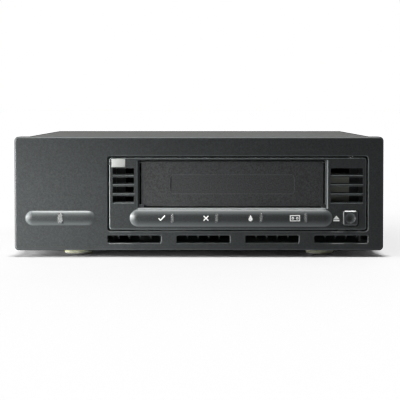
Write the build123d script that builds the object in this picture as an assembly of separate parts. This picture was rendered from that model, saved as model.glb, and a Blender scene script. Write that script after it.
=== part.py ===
from build123d import *

import math
import os

# Table-top tape drive: a steel enclosure with a moulded front, holding a half-height cartridge drive.
# Millimetres, +Z up, the front faces -Y. The origin is on the surface that the feet stand on, under the
# middle of the whole outline. Sizes across the front are built up from the cartridge and its margins, so
# the slot, the drive, its opening in the enclosure's front and the enclosure itself follow one another.

# The half-inch tape cartridge that the slot is made for
CARTRIDGE_WIDTH = 105.8
CARTRIDGE_LENGTH = 105.4
CARTRIDGE_THICKNESS = 25.4

# Front moulding of the drive, round the slot
SLOT_SIDE_ROOM = 2.0
SLOT_HEAD_ROOM = 2.7
DRIVE_LEFT_MARGIN = 15.75
DRIVE_RIGHT_MARGIN = 21.95
DRIVE_SILL = 11.8
DRIVE_FRONT_DEPTH = 10.0
DRIVE_FRONT_WALL = 2.2
DRIVE_SKIRT = 1.3
DRIVE_CORNER = 1.2
DRIVE_EDGE = 0.6
TUNNEL_WALL = 1.5

# Front moulding of the enclosure, round the drive
DRIVE_GAP = 0.9
OPENING_LEFT_MARGIN = 53.35
OPENING_RIGHT_MARGIN = 8.85
OPENING_LIFT = 11.0
OPENING_HEADROOM = 11.0
OPENING_CORNER = 1.6
BEZEL_DEPTH = 14.0
BEZEL_WALL = 2.5
BEZEL_CORNER = 2.2
BEZEL_EDGE = 1.0
RIM_CHAMFER = 0.5
GROUND_GAP = 4.0
LATCH_INSET = 42.3
LATCH_WIDTH = 8.0
LATCH_REACH = 9.0
LATCH_BARB = 2.0

# Raised indicator bars on both mouldings
BAR_RISE = 1.9
BAR_LIFT = 18.5
POWER_BAR_LENGTH = 40.3
POWER_BAR_HEIGHT = 8.3
POWER_BAR_INSET = 6.05
STATUS_BAR_HEIGHT = 9.9
STATUS_BAR_OVERHANG = 4.0
STATUS_BAR_KEY_GAP = 6.0
LENS_PROUD = 0.2
LENS_GAP = 0.05
POWER_LENS = (3.0, 6.0)
STATUS_LENS = (1.8, 5.0)
STATUS_LENS_COUNT = 4
STATUS_LENS_INSET = 24.5
STATUS_LENS_TAIL = 15.4
LENS_DEPTH = 6.0
BAR_POST_SET = 13.4

# Air slots under the drive, in the enclosure's front
AIR_SLOT_COUNT = 4
AIR_SLOT_WIDTH = 30.6
AIR_SLOT_HEIGHT = 4.3
AIR_SLOT_LIFT = 4.2
AIR_SLOT_CORNER = 0.9
AIR_RIB_COUNT = 4
AIR_RIB = 0.8
AIR_RIB_SET = 0.4
AIR_RIB_NOSE = 0.8
AIR_RIB_DROP = 2.4
AIR_RIB_ROOT = 1.2
AIR_RIB_DEPTH = 9.0

# Louvres either side of the slot, in the drive's front
LOUVRE_COUNT = 4
LOUVRE_HEIGHT = 3.3
LOUVRE_PITCH = 5.3
LOUVRE_DROP = 5.9
LOUVRE_EDGE = 1.85
LOUVRE_SILL = 1.0

# Cartridge door
DOOR_THICKNESS = 1.5
DOOR_SET = 2.5
DOOR_SIDE_GAP = 2.6
DOOR_TOP_GAP = 0.5
DOOR_SILL_GAP = 1.5
DOOR_PIN_RADIUS = 0.65
DOOR_PANEL = (71.4, 11.0)
DOOR_PANEL_LIFT = 12.6
DOOR_PANEL_DEPTH = 0.4
DOOR_PANEL_CORNER = 2.0
DOOR_STOP = (1.4, 1.2, 2.6)
SLOT_RIM = (1.6, 2.0)
RUNNING_FIT = 0.08
SEAT_GAP = 0.3

# Eject button
BUTTON_SIZE = 8.5
BUTTON_CORNER = 1.2
BUTTON_GAP = 0.6
BUTTON_PROUD = 0.8
BUTTON_BEVEL = 0.6
BUTTON_DISH_RADIUS = 3.0
BUTTON_DISH_DEPTH = 0.9
BUTTON_TRAVEL = 0.8
BUTTON_INSET = 9.1
BUTTON_LUG = 1.6
BUTTON_LUG_HEIGHT = 4.2
BUTTON_LUG_DEPTH = 1.2

# Indicator boards behind the fronts
BOARD = 1.6
STATUS_BOARD_SET = 7.0
STATUS_BOARD_HEIGHT = 8.2
STATUS_BOARD_OVERHANG = 12.0
STATUS_POST_OFFSET = 8.5
EJECT_SWITCH = 6.0
LAMP = (2.0, 2.2, 2.0)

# Enclosure sheet metal
SHEET = 1.2
COVER_SHEET = 1.0
COVER_INSET = 2.2
COVER_DROP = 0.5
COVER_BEND = 2.5
COVER_SEAM = 0.3
TRAY_LIFT = 1.0
TRAY_FLANGE = 14.0
SLIDE_FIT = 0.3
CABLE_ROOM = 100.0

# Feet
FOOT_RADIUS = 8.5
FOOT_TREAD_RADIUS = 6.6
FOOT_ROUND = 1.6
FOOT_SIDE_INSET = 34.7
FOOT_FRONT_INSET = 32.0
FOOT_REAR_INSET = 30.0

# Screws
SCREW_RADIUS = 1.5
SCREW_HOLE = 1.6
SCREW_HEAD_RADIUS = 2.9
SCREW_HEAD = 1.6
COVER_SCREW_LENGTH = 5.0
COVER_SCREW_LIFT = 8.0
COVER_SCREW_INSET = 7.0

# Drive's mounting rails
RAIL_SCREW_INSET = 47.4
RAIL_SCREW_SPACING = 79.3
RAIL_SCREW_LIFT = 10.0
RAIL_SCREW_LENGTH = 3.6
RAIL_OVERRUN = 14.0
RAIL_RISE = 4.7

# Drive casting and lid
CAST_WALL = 3.0
CAST_FLOOR = 2.5
CAST_FLOOR_LIFT = 6.0
DRIVE_BODY_INSET = 0.75
DRIVE_BODY_DROP = 0.2
LID_SHEET = 0.8
LID_BOSS = 2.6
LID_SCREW_LENGTH = 5.0
BOARD_LIFT = 0.9
BOARD_TAIL = 8.0
BOARD_BOSS = 3.0
BOARD_BOSS_INSET = 6.0
CHIP_HEIGHT = 1.6
CHIPS = (((-36.0, 96.0), 20.0), ((34.0, 108.0), 24.0), ((0.0, 150.0), 28.0), ((42.0, 150.0), 14.0))
DATA_PLUG = (46.0, 7.0, 7.0)
POWER_PLUG = (21.0, 7.0, 8.0)

# Cartridge receiver
RECEIVER_SHEET = 1.0
RECEIVER_SIDE_ROOM = 0.5
RECEIVER_FLOOR_DROP = 0.2
RECEIVER_SIDE_HEIGHT = 22.5
RECEIVER_STOP = (9.0, 12.0)
RECEIVER_SEAT = 4.0
RECEIVER_SEAT_INSET = 8.0
BAY_ROOM = 0.6

# Reel drive under the cartridge
HUB_RADIUS = 17.0
HUB_THICKNESS = 1.5
HUB_TEETH = 24
HUB_TOOTH = (3.0, 1.0, 0.6)
HUB_BOSS_RADIUS = 9.0
HUB_HOLE_ROOM = 1.5
HUB_TOP_DROP = 0.1
SPINDLE_RADIUS = 2.5
MOTOR_RADIUS = 22.0
MOTOR_GAP = 0.3

# Take-up reel
REEL_MARGIN = 10.9
REEL_HUB_RADIUS = 20.0
REEL_FLANGE = 1.2
REEL_SPACE = 13.4
REEL_SHAFT_RADIUS = 3.0
REEL_CLEARANCE = 2.4
REEL_WINDOWS = 5
REEL_WINDOW_RADIUS = 6.0
REEL_NOTCH = (7.0, 5.0)
TAKEUP_MOTOR_RADIUS = 24.0
TAKEUP_MOTOR_HEIGHT = 7.6

# Tape path: four guide rollers round the head
TAPE_WIDTH = 12.7
ROLLER_RADIUS = 5.5
ROLLER_FLANGE_RADIUS = 6.5
ROLLER_FLANGE = 0.8
POST_RADIUS = 1.6
POST_COLLAR = 1.2
POST_TIP = 1.2
GUIDE_PLATE = 1.5
PATH_INSET = 6.0
PATH_ANGLES = (-58.0, -27.0, 27.0, 58.0)
PATH_BACK = 20.0

# Read and write head on its lifting carriage
HEAD_CORE_DEPTH = 4.0
HEAD_CORE_RADIUS = 9.0
HEAD_CORE_WIDTH = 9.0
HEAD_CORE_LEAD = 4.2
HEAD_BLOCK_DEPTH = 9.0
HEAD_ROLLER_GAP = 0.85
HEAD_ARM = (14.0, 5.0)
HEAD_TRAVEL = 3.5
HEAD_ROD_RADIUS = 1.5
HEAD_ROD_WALL = 1.5
HEAD_ROD_SPREAD = 7.0
LEAD_SCREW_RADIUS = 1.4
STEPPER_RADIUS = 5.0
STEPPER_HEIGHT = 6.5
HEAD_BRIDGE = 1.5

# Load motor beside the bay
LOAD_MOTOR = (11.5, 28.0, 23.0)
LOAD_MOTOR_SET = 13.0
LOAD_MOTOR_NOSE = (2.9, 8.4)

# Power supply in the left bay
PSU_SET = 36.0
PSU_LIFT = 6.0
PSU_GAP = 1.5
PSU_SPACE = 10.5
STANDOFF_RADIUS = 2.5
HEATSINK = (3.0, 84.0, 28.0)
FIN_COUNT = 6
FIN = (7.0, 1.2)
TRANSFORMER = (27.0, 31.0, 24.0)
TRANSFORMER_CORE = (21.6, 12.0)
WINDING_LENGTH = 21.7
CAPACITOR_RADIUS = 10.0
CAPACITOR_HEIGHT = 34.0

# Rear panel and what it carries
REAR_FLANGE = 12.0
INLET_FLANGE = (30.0, 23.0)
INLET_BODY = (26.6, 19.4)
INLET_CAVITY = (24.2, 16.2)
INLET_DEPTH = 20.0
INLET_CAVITY_DEPTH = 16.0
INLET_LIP = 2.0
INLET_DROP = 13.5
INLET_CORNER = 4.0
INLET_KEY = 4.05
PIN_BLADE = (2.0, 4.0)
PIN_SPREAD = 7.0
PIN_EARTH_RISE = 4.0
PIN_LENGTH = 13.0
PIN_TAIL = 4.0
SWITCH_RISE = 14.5
SWITCH_FLANGE = (15.0, 21.0)
SWITCH_BODY = (12.9, 19.2)
SWITCH_CAVITY = (11.4, 17.0)
SWITCH_DEPTH = 14.0
SWITCH_LIP = 1.5
ROCKER_TILT = 8.0
ROCKER_PIN_RADIUS = 1.0
ROCKER_PIN_SEAT = 0.6
ROCKER_SET = 1.5
ROCKER_WELL = 5.0
ROCKER_CREST = 4.2
ROCKER_DISH = 1.2
ROCKER_ROOT = 2.6
FAN_SIZE = 50.0
FAN_DEPTH = 15.0
FAN_BORE_RADIUS = 23.2
FAN_HOLE_SPACING = 40.0
FAN_BLADES = 7
FAN_HUB_RADIUS = 11.0
FAN_TIP_GAP = 0.9
FAN_CUP_WALL = 1.8
FAN_SHAFT_RADIUS = 1.5
FAN_CORNER = 3.0
FAN_SEAT = 2.4
FAN_STRUTS = 3
FAN_SCREW_LENGTH = 12.0
BLADE_ROOT_ANGLE = 42.0
BLADE_TIP_ANGLE = 58.0
BLADE_CHORD = (10.5, 13.0)
BLADE_THICKNESS = 1.0
GUARD_SHEET = 1.0
GUARD_HEX = 2.0
GUARD_BAR = 1.0
SOCKET_FLANGE = (66.0, 13.0)
SOCKET_SHELL = (48.0, 9.0)
SOCKET_SHELL_WALL = 0.7
SOCKET_PROUD = 4.5
SOCKET_BODY_DEPTH = 11.0
SOCKET_SPREAD = 11.0
SOCKET_SLOT = (41.0, 2.2)
SOCKET_LEAN = 80.0
SOCKET_CORNER = 1.4
SOCKET_TONGUE_GAP = 0.3
SOCKET_TONGUE_DROP = 0.6
JACK_PITCH = 58.0
JACK_ACROSS = 5.0
JACK_LENGTH = 5.5
JACK_HOLE = 1.4
JACK_TAIL = 1.6
ID_FLANGE = (12.0, 25.0)
ID_BODY = (9.6, 22.0)
ID_DEPTH = 13.0
ID_WINDOW = (5.0, 6.0)
ID_WHEEL_RADIUS = 4.3
ID_WHEEL_WIDTH = 5.6
ID_BUTTON = (6.0, 3.6)
ID_BUTTON_PROUD = 1.6
ID_BUTTON_TRAVEL = 1.0
ID_BUTTON_GAP = 0.2
ID_BUTTON_WELL = 4.2
ID_BUTTON_SPACING = 6.3
ID_WHEEL_SET = 4.2
ID_WHEEL_SIDES = 10
ID_AXLE = 8.0

# Leads
RIBBON_WIDTH = 42.0
RIBBON_THICKNESS = 1.0
RIBBON_BEND = 30.0
RIBBON_RISE = 28.0
HARNESS_WIDTH = 7.0
HARNESS_THICKNESS = 2.0
HARNESS_INSET = 9.5
HARNESS_LOOP = 18.0
HARNESS_BENDS = (16.0, 14.0)
HARNESS_HEADER_WALL = 1.2

# Places worked out from the sizes above, across the front
SLOT_WIDTH = CARTRIDGE_WIDTH + 2 * SLOT_SIDE_ROOM
SLOT_HEIGHT = CARTRIDGE_THICKNESS + SLOT_HEAD_ROOM
DRIVE_WIDTH = DRIVE_LEFT_MARGIN + SLOT_WIDTH + DRIVE_RIGHT_MARGIN
DRIVE_HEIGHT = DRIVE_SILL + SLOT_HEIGHT + DRIVE_SKIRT
OPENING_WIDTH = DRIVE_WIDTH + 2 * DRIVE_GAP
OPENING_HEIGHT = DRIVE_HEIGHT + 2 * DRIVE_GAP
BEZEL_WIDTH = OPENING_LEFT_MARGIN + OPENING_WIDTH + OPENING_RIGHT_MARGIN
BEZEL_HEIGHT = OPENING_LIFT + OPENING_HEIGHT + OPENING_HEADROOM

BEZEL_X = (-BEZEL_WIDTH / 2, BEZEL_WIDTH / 2)
BEZEL_Z = (GROUND_GAP, GROUND_GAP + BEZEL_HEIGHT)
OPENING_X = (BEZEL_X[0] + OPENING_LEFT_MARGIN, BEZEL_X[1] - OPENING_RIGHT_MARGIN)
OPENING_Z = (BEZEL_Z[0] + OPENING_LIFT, BEZEL_Z[1] - OPENING_HEADROOM)
DRIVE_X = (OPENING_X[0] + DRIVE_GAP, OPENING_X[1] - DRIVE_GAP)
DRIVE_Z = (OPENING_Z[0] + DRIVE_GAP, OPENING_Z[1] - DRIVE_GAP)
SLOT_X = (DRIVE_X[0] + DRIVE_LEFT_MARGIN, DRIVE_X[1] - DRIVE_RIGHT_MARGIN)
SLOT_Z = (DRIVE_Z[0] + DRIVE_SILL, DRIVE_Z[1] - DRIVE_SKIRT)
BAR_Z = BEZEL_Z[0] + BAR_LIFT


def middle(ends):
    """The middle of a (low, high) pair."""
    return (ends[0] + ends[1]) / 2


def about(centre, size):
    """The (low, high) pair of a size centred on a place."""
    return (centre - size / 2, centre + size / 2)


def grown(ends, by):
    """A (low, high) pair moved out by the same distance at both ends, or in where that is negative."""
    return (ends[0] - by, ends[1] + by)


SLOT_CENTRE = middle(SLOT_X)
POWER_BAR_X = BEZEL_X[0] + POWER_BAR_INSET + POWER_BAR_LENGTH / 2
BUTTON_X = DRIVE_X[1] - BUTTON_INSET
STATUS_BAR_X = (SLOT_X[0] - STATUS_BAR_OVERHANG, BUTTON_X - BUTTON_SIZE / 2 - STATUS_BAR_KEY_GAP)
STATUS_BAR_LENGTH = STATUS_BAR_X[1] - STATUS_BAR_X[0]
FIRST_LENS_X = STATUS_BAR_X[0] + STATUS_LENS_INSET
STATUS_LENS_PITCH = (STATUS_BAR_X[1] - STATUS_LENS_TAIL - FIRST_LENS_X) / (STATUS_LENS_COUNT - 1)
STATUS_LENS_X = [FIRST_LENS_X + STATUS_LENS_PITCH * i for i in range(STATUS_LENS_COUNT)]
LATCH_X = (BEZEL_X[0] + LATCH_INSET, BEZEL_X[1] - LATCH_INSET)
LAMP_SET = STATUS_BOARD_SET - LAMP[1]

# Places from front to back
BAY_LENGTH = CARTRIDGE_LENGTH + BAY_ROOM
BAY_FRONT_SET = DOOR_SET + DOOR_THICKNESS + BAY_ROOM
REEL_RADIUS = CARTRIDGE_WIDTH / 2 - REEL_MARGIN
PATH_RADIUS = REEL_RADIUS - PATH_INSET
REEL_SET = BAY_FRONT_SET + BAY_LENGTH + RECEIVER_SHEET + REEL_CLEARANCE + REEL_RADIUS
DRIVE_END_SET = REEL_SET + REEL_RADIUS + REEL_CLEARANCE + CAST_WALL
ENCLOSURE_DEPTH = DRIVE_END_SET + CABLE_ROOM
OVERALL_DEPTH = BAR_RISE + LENS_PROUD + ENCLOSURE_DEPTH + JACK_LENGTH
FACE_Y = BAR_RISE + LENS_PROUD - OVERALL_DEPTH / 2
REAR_Y = FACE_Y + ENCLOSURE_DEPTH
CAST_Y = (FACE_Y + DRIVE_FRONT_DEPTH, FACE_Y + DRIVE_END_SET)
BAY_Y = (FACE_Y + BAY_FRONT_SET, FACE_Y + BAY_FRONT_SET + BAY_LENGTH)
PANEL_Y = (REAR_Y - SHEET, REAR_Y)

# Sheet-metal places
TRAY_Z = (BEZEL_Z[0] + TRAY_LIFT, BEZEL_Z[0] + TRAY_LIFT + SHEET)
COVER_X = grown(BEZEL_X, -COVER_INSET)
COVER_Z = (TRAY_Z[0], BEZEL_Z[1] - COVER_DROP)
COVER_Y = (FACE_Y + BEZEL_DEPTH + COVER_SEAM, REAR_Y)
TRAY_X = grown(COVER_X, -COVER_SHEET - SLIDE_FIT)
TRAY_INNER_X = grown(TRAY_X, -SHEET)
PANEL_Z = (TRAY_Z[1], COVER_Z[1] - COVER_SHEET - SLIDE_FIT)
PANEL_MID = middle(PANEL_Z)
SIDE_SCREW_Z = TRAY_Z[0] + COVER_SCREW_LIFT

# Drive body places
CAST_X = grown(DRIVE_X, -DRIVE_BODY_INSET)
CAST_INNER_X = grown(CAST_X, -CAST_WALL)
LID_Z = (DRIVE_Z[1] - DRIVE_BODY_DROP - LID_SHEET, DRIVE_Z[1] - DRIVE_BODY_DROP)
CAST_Z = (DRIVE_Z[0] + DRIVE_BODY_DROP, LID_Z[0])
CAST_FLOOR_Z = (CAST_Z[0] + CAST_FLOOR_LIFT, CAST_Z[0] + CAST_FLOOR_LIFT + CAST_FLOOR)
RAIL_FOOT = TRAY_INNER_X[1] - CAST_X[1] - SHEET - SEAT_GAP
RAIL_SCREW_Z = CAST_Z[0] + RAIL_SCREW_LIFT
BOARD_Z = (CAST_Z[0] + BOARD_LIFT, CAST_Z[0] + BOARD_LIFT + BOARD)
RECEIVER_TOP = SLOT_Z[0] - RECEIVER_FLOOR_DROP
RECEIVER_FLOOR_Z = (RECEIVER_TOP - RECEIVER_SHEET, RECEIVER_TOP)
RECEIVER_X = grown(about(SLOT_CENTRE, CARTRIDGE_WIDTH), RECEIVER_SIDE_ROOM + RECEIVER_SHEET)
RECEIVER_Y = (CAST_Y[0] + COVER_SEAM, BAY_Y[1] + RECEIVER_SHEET)
TAPE_MID_Z = SLOT_Z[0] + CARTRIDGE_THICKNESS / 2
DOOR_AXIS_Y = FACE_Y + DOOR_SET + DOOR_THICKNESS / 2
DOOR_AXIS_Z = SLOT_Z[1] - DOOR_TOP_GAP - DOOR_THICKNESS / 2
HUB_XY = (SLOT_CENTRE, BAY_Y[0] + BAY_LENGTH / 2)
HUB_TOP = SLOT_Z[0] - HUB_TOP_DROP - HUB_TOOTH[2]
HUB_Z = (HUB_TOP - HUB_THICKNESS, HUB_TOP)
REEL_XY = (CAST_INNER_X[0] + REEL_CLEARANCE + REEL_RADIUS, FACE_Y + REEL_SET)
REEL_Z = about(TAPE_MID_Z, REEL_SPACE + 2 * REEL_FLANGE)
PATH_CENTRE = (CAST_INNER_X[1] - PATH_BACK - PATH_RADIUS, REEL_XY[1])
ROLLER_XY = [
    (
        PATH_CENTRE[0] + PATH_RADIUS * math.cos(math.radians(angle)),
        PATH_CENTRE[1] + PATH_RADIUS * math.sin(math.radians(angle)),
    )
    for angle in PATH_ANGLES
]
GUIDE_Z = (CAST_FLOOR_Z[1], CAST_FLOOR_Z[1] + GUIDE_PLATE)
ROLLER_Z = about(TAPE_MID_Z, TAPE_WIDTH + 2 * ROLLER_FLANGE)
HEAD_FACE_X = max(x for x, _ in ROLLER_XY) + ROLLER_RADIUS + HEAD_CORE_LEAD
HEAD_BLOCK_X = (HEAD_FACE_X - HEAD_CORE_DEPTH - HEAD_BLOCK_DEPTH, HEAD_FACE_X - HEAD_CORE_DEPTH)
HEAD_BLOCK_Y = grown((ROLLER_XY[1][1], ROLLER_XY[2][1]), -ROLLER_FLANGE_RADIUS - HEAD_ROLLER_GAP)
HEAD_ARM_X = (HEAD_BLOCK_X[0] - HEAD_ARM[0], HEAD_BLOCK_X[0])
SCREW_XY = (middle(HEAD_ARM_X), PATH_CENTRE[1])
STEPPER_Z = (GUIDE_Z[1], GUIDE_Z[1] + STEPPER_HEIGHT)
HEAD_ARM_LOW = STEPPER_Z[1] + SEAT_GAP + HEAD_TRAVEL
HEAD_ARM_Z = (HEAD_ARM_LOW, HEAD_ARM_LOW + HEAD_ARM[1])
ROD_SPAN_X = about(SCREW_XY[0], 2 * (HEAD_ROD_RADIUS + HEAD_ROD_WALL))
ROD_SPAN_Y = about(SCREW_XY[1], 2 * (HEAD_ROD_SPREAD + HEAD_ROD_RADIUS + HEAD_ROD_WALL))
BRIDGE_Z = (CAST_Z[1] - SEAT_GAP - HEAD_BRIDGE, CAST_Z[1] - SEAT_GAP)

# Power supply places
PSU_X = (TRAY_INNER_X[0] + PSU_GAP, CAST_X[0] - SHEET - RAIL_FOOT - PSU_GAP)
SINK_Y = about(FACE_Y + PSU_SET + PSU_GAP + HEATSINK[1] / 2, HEATSINK[1])
TRANSFORMER_Y = (SINK_Y[1] + PSU_GAP, SINK_Y[1] + PSU_GAP + TRANSFORMER[1])
CAPACITOR_Y = TRANSFORMER_Y[1] + PSU_SPACE + CAPACITOR_RADIUS
PSU_Y = (SINK_Y[0] - PSU_GAP, CAPACITOR_Y + CAPACITOR_RADIUS + PSU_GAP)
PSU_Z = (TRAY_Z[1] + PSU_LIFT, TRAY_Z[1] + PSU_LIFT + BOARD)
PSU_TOP = PSU_Z[1]

# Rear panel places, from the power inlet across to the address switch
REAR_WIDTHS = (INLET_FLANGE[0], FAN_SIZE, SOCKET_FLANGE[0], ID_FLANGE[0])
REAR_SPACING = (TRAY_INNER_X[1] - TRAY_INNER_X[0] - sum(REAR_WIDTHS)) / (len(REAR_WIDTHS) + 1)
INLET_X = TRAY_INNER_X[0] + REAR_SPACING + INLET_FLANGE[0] / 2
INLET_Z = PANEL_MID - INLET_DROP
SWITCH_Z = PANEL_MID + SWITCH_RISE
ROCKER_AXIS_Y = PANEL_Y[1] - ROCKER_SET
FAN_X = INLET_X + INLET_FLANGE[0] / 2 + REAR_SPACING + FAN_SIZE / 2
SOCKET_X = FAN_X + FAN_SIZE / 2 + REAR_SPACING + SOCKET_FLANGE[0] / 2
ID_X = SOCKET_X + SOCKET_FLANGE[0] / 2 + REAR_SPACING + ID_FLANGE[0] / 2
FAN_Y = (PANEL_Y[0] - FAN_DEPTH, PANEL_Y[0])
FAN_CUP_Y = (FAN_Y[0] + FAN_SEAT + SEAT_GAP, FAN_Y[1] - SHEET)
INLET_MOUTH_Y = PANEL_Y[1] + INLET_LIP
INLET_WELL_Y = (INLET_MOUTH_Y - INLET_CAVITY_DEPTH, INLET_MOUTH_Y)
ID_FRONT_Y = PANEL_Y[1] + SHEET
ID_WHEEL_Y = PANEL_Y[1] - ID_WHEEL_SET
SOCKET_Z = {"upper": PANEL_MID + SOCKET_SPREAD, "lower": PANEL_MID - SOCKET_SPREAD}


def block(x, y, z):
    """A box from its (low, high) pairs along X, Y and Z."""
    return Pos(middle(x), middle(y), middle(z)) * Box(x[1] - x[0], y[1] - y[0], z[1] - z[0])


def across(outline, x, z, y):
    """An outline drawn in the front view, centred on x and z, made solid from y[0] back to y[1]."""
    plane = Plane(origin=(x, y[1], z), x_dir=(1, 0, 0), z_dir=(0, -1, 0))
    return extrude(plane * outline, amount=y[1] - y[0])


def pillar(radius, xy, z):
    """A round bar standing up from z[0] to z[1]."""
    return Pos(xy[0], xy[1], middle(z)) * Cylinder(radius, z[1] - z[0])


def axle(radius, x, y, z):
    """A round bar lying along X from x[0] to x[1]."""
    return Pos(middle(x), y, z) * Rot(0, 90, 0) * Cylinder(radius, x[1] - x[0])


def round_bar(radius, x, z, y):
    """A round bar lying along Y from y[0] to y[1]."""
    return Pos(x, middle(y), z) * Rot(90, 0, 0) * Cylinder(radius, y[1] - y[0])


def roomy(size, room):
    """A width and height with the same room added all round."""
    return [length + 2 * room for length in size]


def screw(length):
    """A pan-head screw with its head's underside at the origin and its shank down -Z."""
    head = Pos(0, 0, SCREW_HEAD / 2) * Cylinder(SCREW_HEAD_RADIUS, SCREW_HEAD)
    return head + Pos(0, 0, -length / 2) * Cylinder(SCREW_RADIUS, length)


def hollow_front(x, z, corner, edge, depth, wall, skirt):
    """A moulded front: a face with rounded edges, and a skirt running back round an open rear."""
    outline = RectangleRounded(x[1] - x[0], z[1] - z[0], corner)
    shell = across(outline, middle(x), middle(z), (FACE_Y, FACE_Y + depth))
    shell = fillet(shell.faces().sort_by(Axis.Y)[0].edges(), edge)
    return shell - block(grown(x, -skirt), (FACE_Y + wall, FACE_Y + depth), grown(z, -skirt))


def raised_bar(x, length, height):
    """An indicator bar: the crest of a fat round-ended rod that lies mostly behind the face."""
    half = height / 2
    radius = (half**2 + BAR_RISE**2) / (2 * BAR_RISE)
    reach = length / 2 - half
    side = [
        CenterArc((-reach, 0), radius, 90, 90),
        Line((-reach, radius), (reach, radius)),
        CenterArc((reach, 0), radius, 0, 90),
        Line((reach + radius, 0), (-reach - radius, 0)),
    ]
    rod = Pos(x, FACE_Y + radius - BAR_RISE, BAR_Z) * revolve(make_face(side), Axis.X, 360)
    crest = (FACE_Y - 2 * BAR_RISE, FACE_Y + DRIVE_FRONT_WALL / 2)
    return rod & block(about(x, length + 2 * radius), crest, about(BAR_Z, 4 * radius))


def lens_hole(size, x, depth):
    """The upright round-ended hole that a light pipe fills."""
    hole = SlotOverall(size[1] + 2 * LENS_GAP, size[0] + 2 * LENS_GAP, rotation=90)
    return across(hole, x, BAR_Z, (FACE_Y - 2 * BAR_RISE, FACE_Y + depth))


def light_pipe(size, x, depth):
    """A clear light pipe with a bevelled nose that stands just proud of its bar."""
    nose = FACE_Y - BAR_RISE - LENS_PROUD
    pipe = across(SlotOverall(size[1], size[0], rotation=90), x, BAR_Z, (nose, FACE_Y + depth))
    return chamfer(pipe.faces().sort_by(Axis.Y)[0].edges(), LENS_PROUD)


def lamp(x, y):
    """A lamp on the front of a board, its middle on the bars' line."""
    return block(about(x, LAMP[0]), y, about(BAR_Z, LAMP[2]))


def air_slot_centres():
    """The middles of the air slots, spread evenly under the drive's opening."""
    pitch = (OPENING_WIDTH - AIR_SLOT_WIDTH) / (AIR_SLOT_COUNT - 1)
    return [OPENING_X[0] + AIR_SLOT_WIDTH / 2 + pitch * i for i in range(AIR_SLOT_COUNT)]


def air_rib(x, roof):
    """A thin rib hanging from an air slot's roof, deeper towards the rear."""
    front, back, deep = (FACE_Y + depth for depth in (RIM_CHAMFER + AIR_RIB_SET, BEZEL_WALL, AIR_RIB_DEPTH))
    profile = make_face(Polyline(
        (front, roof),
        (back, roof),
        (back, roof + AIR_RIB_ROOT),
        (deep, roof + AIR_RIB_ROOT),
        (deep, roof - AIR_RIB_DROP),
        (front, roof - AIR_RIB_NOSE),
        close=True,
    ))
    return Pos(x - AIR_RIB / 2, 0, 0) * extrude(Plane.YZ * profile, amount=AIR_RIB)


def latch_hook(x):
    """A springy hook on the skirt's lower wall, running back over the tray's floor to a slot in it."""
    low = BEZEL_Z[0] + BEZEL_WALL
    tail_y = FACE_Y + BEZEL_DEPTH + LATCH_REACH
    beam = block(about(x, LATCH_WIDTH), (FACE_Y + BEZEL_DEPTH / 2, tail_y), (low, low + 2 * SHEET))
    barb = block(about(x, LATCH_WIDTH), (tail_y - LATCH_BARB, tail_y), (TRAY_Z[0] + SHEET / 3, low))
    return beam + barb


def front_bezel():
    """Enclosure front: the drive's opening, ribbed air slots below it, and the power bar at the left."""
    bezel = hollow_front(BEZEL_X, BEZEL_Z, BEZEL_CORNER, BEZEL_EDGE, BEZEL_DEPTH, BEZEL_WALL, BEZEL_WALL)
    opening = RectangleRounded(OPENING_WIDTH, OPENING_HEIGHT, OPENING_CORNER)
    through = (FACE_Y - BEZEL_EDGE, FACE_Y + BEZEL_WALL)
    bezel -= across(opening, middle(OPENING_X), middle(OPENING_Z), through)
    slot = RectangleRounded(AIR_SLOT_WIDTH, AIR_SLOT_HEIGHT, AIR_SLOT_CORNER)
    slot_z = about(BEZEL_Z[0] + AIR_SLOT_LIFT + AIR_SLOT_HEIGHT / 2, AIR_SLOT_HEIGHT)
    for x in air_slot_centres():
        bezel -= across(slot, x, middle(slot_z), through)
    face = bezel.faces().filter_by(Plane.XZ).sort_by(Axis.Y)[0]
    bezel = chamfer([edge for wire in face.inner_wires() for edge in wire.edges()], RIM_CHAMFER)
    cell = AIR_SLOT_WIDTH / (AIR_RIB_COUNT + 1)
    for x in air_slot_centres():
        for i in range(AIR_RIB_COUNT):
            bezel += air_rib(x - AIR_SLOT_WIDTH / 2 + cell * (i + 1), slot_z[1])
    bezel += raised_bar(POWER_BAR_X, POWER_BAR_LENGTH, POWER_BAR_HEIGHT)
    bezel -= lens_hole(POWER_LENS, POWER_BAR_X, BEZEL_WALL)
    post_y = (FACE_Y + BEZEL_WALL, FACE_Y + LENS_DEPTH + LAMP[1])
    for x in about(POWER_BAR_X, 2 * BAR_POST_SET):
        bezel += round_bar(SCREW_RADIUS, x, BAR_Z, post_y)
    for x in LATCH_X:
        bezel += latch_hook(x)
    return bezel


def power_light_pipe():
    """Clear lens of the power light, through the enclosure's raised bar."""
    return light_pipe(POWER_LENS, POWER_BAR_X, LENS_DEPTH - SEAT_GAP)


def power_light_board():
    """Small board with one lamp, on two posts behind the power bar."""
    front = FACE_Y + LENS_DEPTH + LAMP[1]
    board_x = about(POWER_BAR_X, POWER_BAR_LENGTH)
    board = block(board_x, (front, front + BOARD), about(BAR_Z, STATUS_BOARD_HEIGHT))
    return board + lamp(POWER_BAR_X, (FACE_Y + LENS_DEPTH, front))


def rubber_feet():
    """Four moulded rubber feet with a rounded lower edge, stuck to the tray's underside."""
    xs = (BEZEL_X[0] + FOOT_SIDE_INSET, BEZEL_X[1] - FOOT_SIDE_INSET)
    ys = (FACE_Y + FOOT_FRONT_INSET, REAR_Y - FOOT_REAR_INSET)
    foot = loft([Circle(FOOT_TREAD_RADIUS + FOOT_ROUND), Pos(0, 0, TRAY_Z[0]) * Circle(FOOT_RADIUS)])
    foot = fillet(foot.edges().sort_by(Axis.Z)[0], FOOT_ROUND)
    return [Pos(x, y, 0) * foot for x in xs for y in ys]


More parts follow.
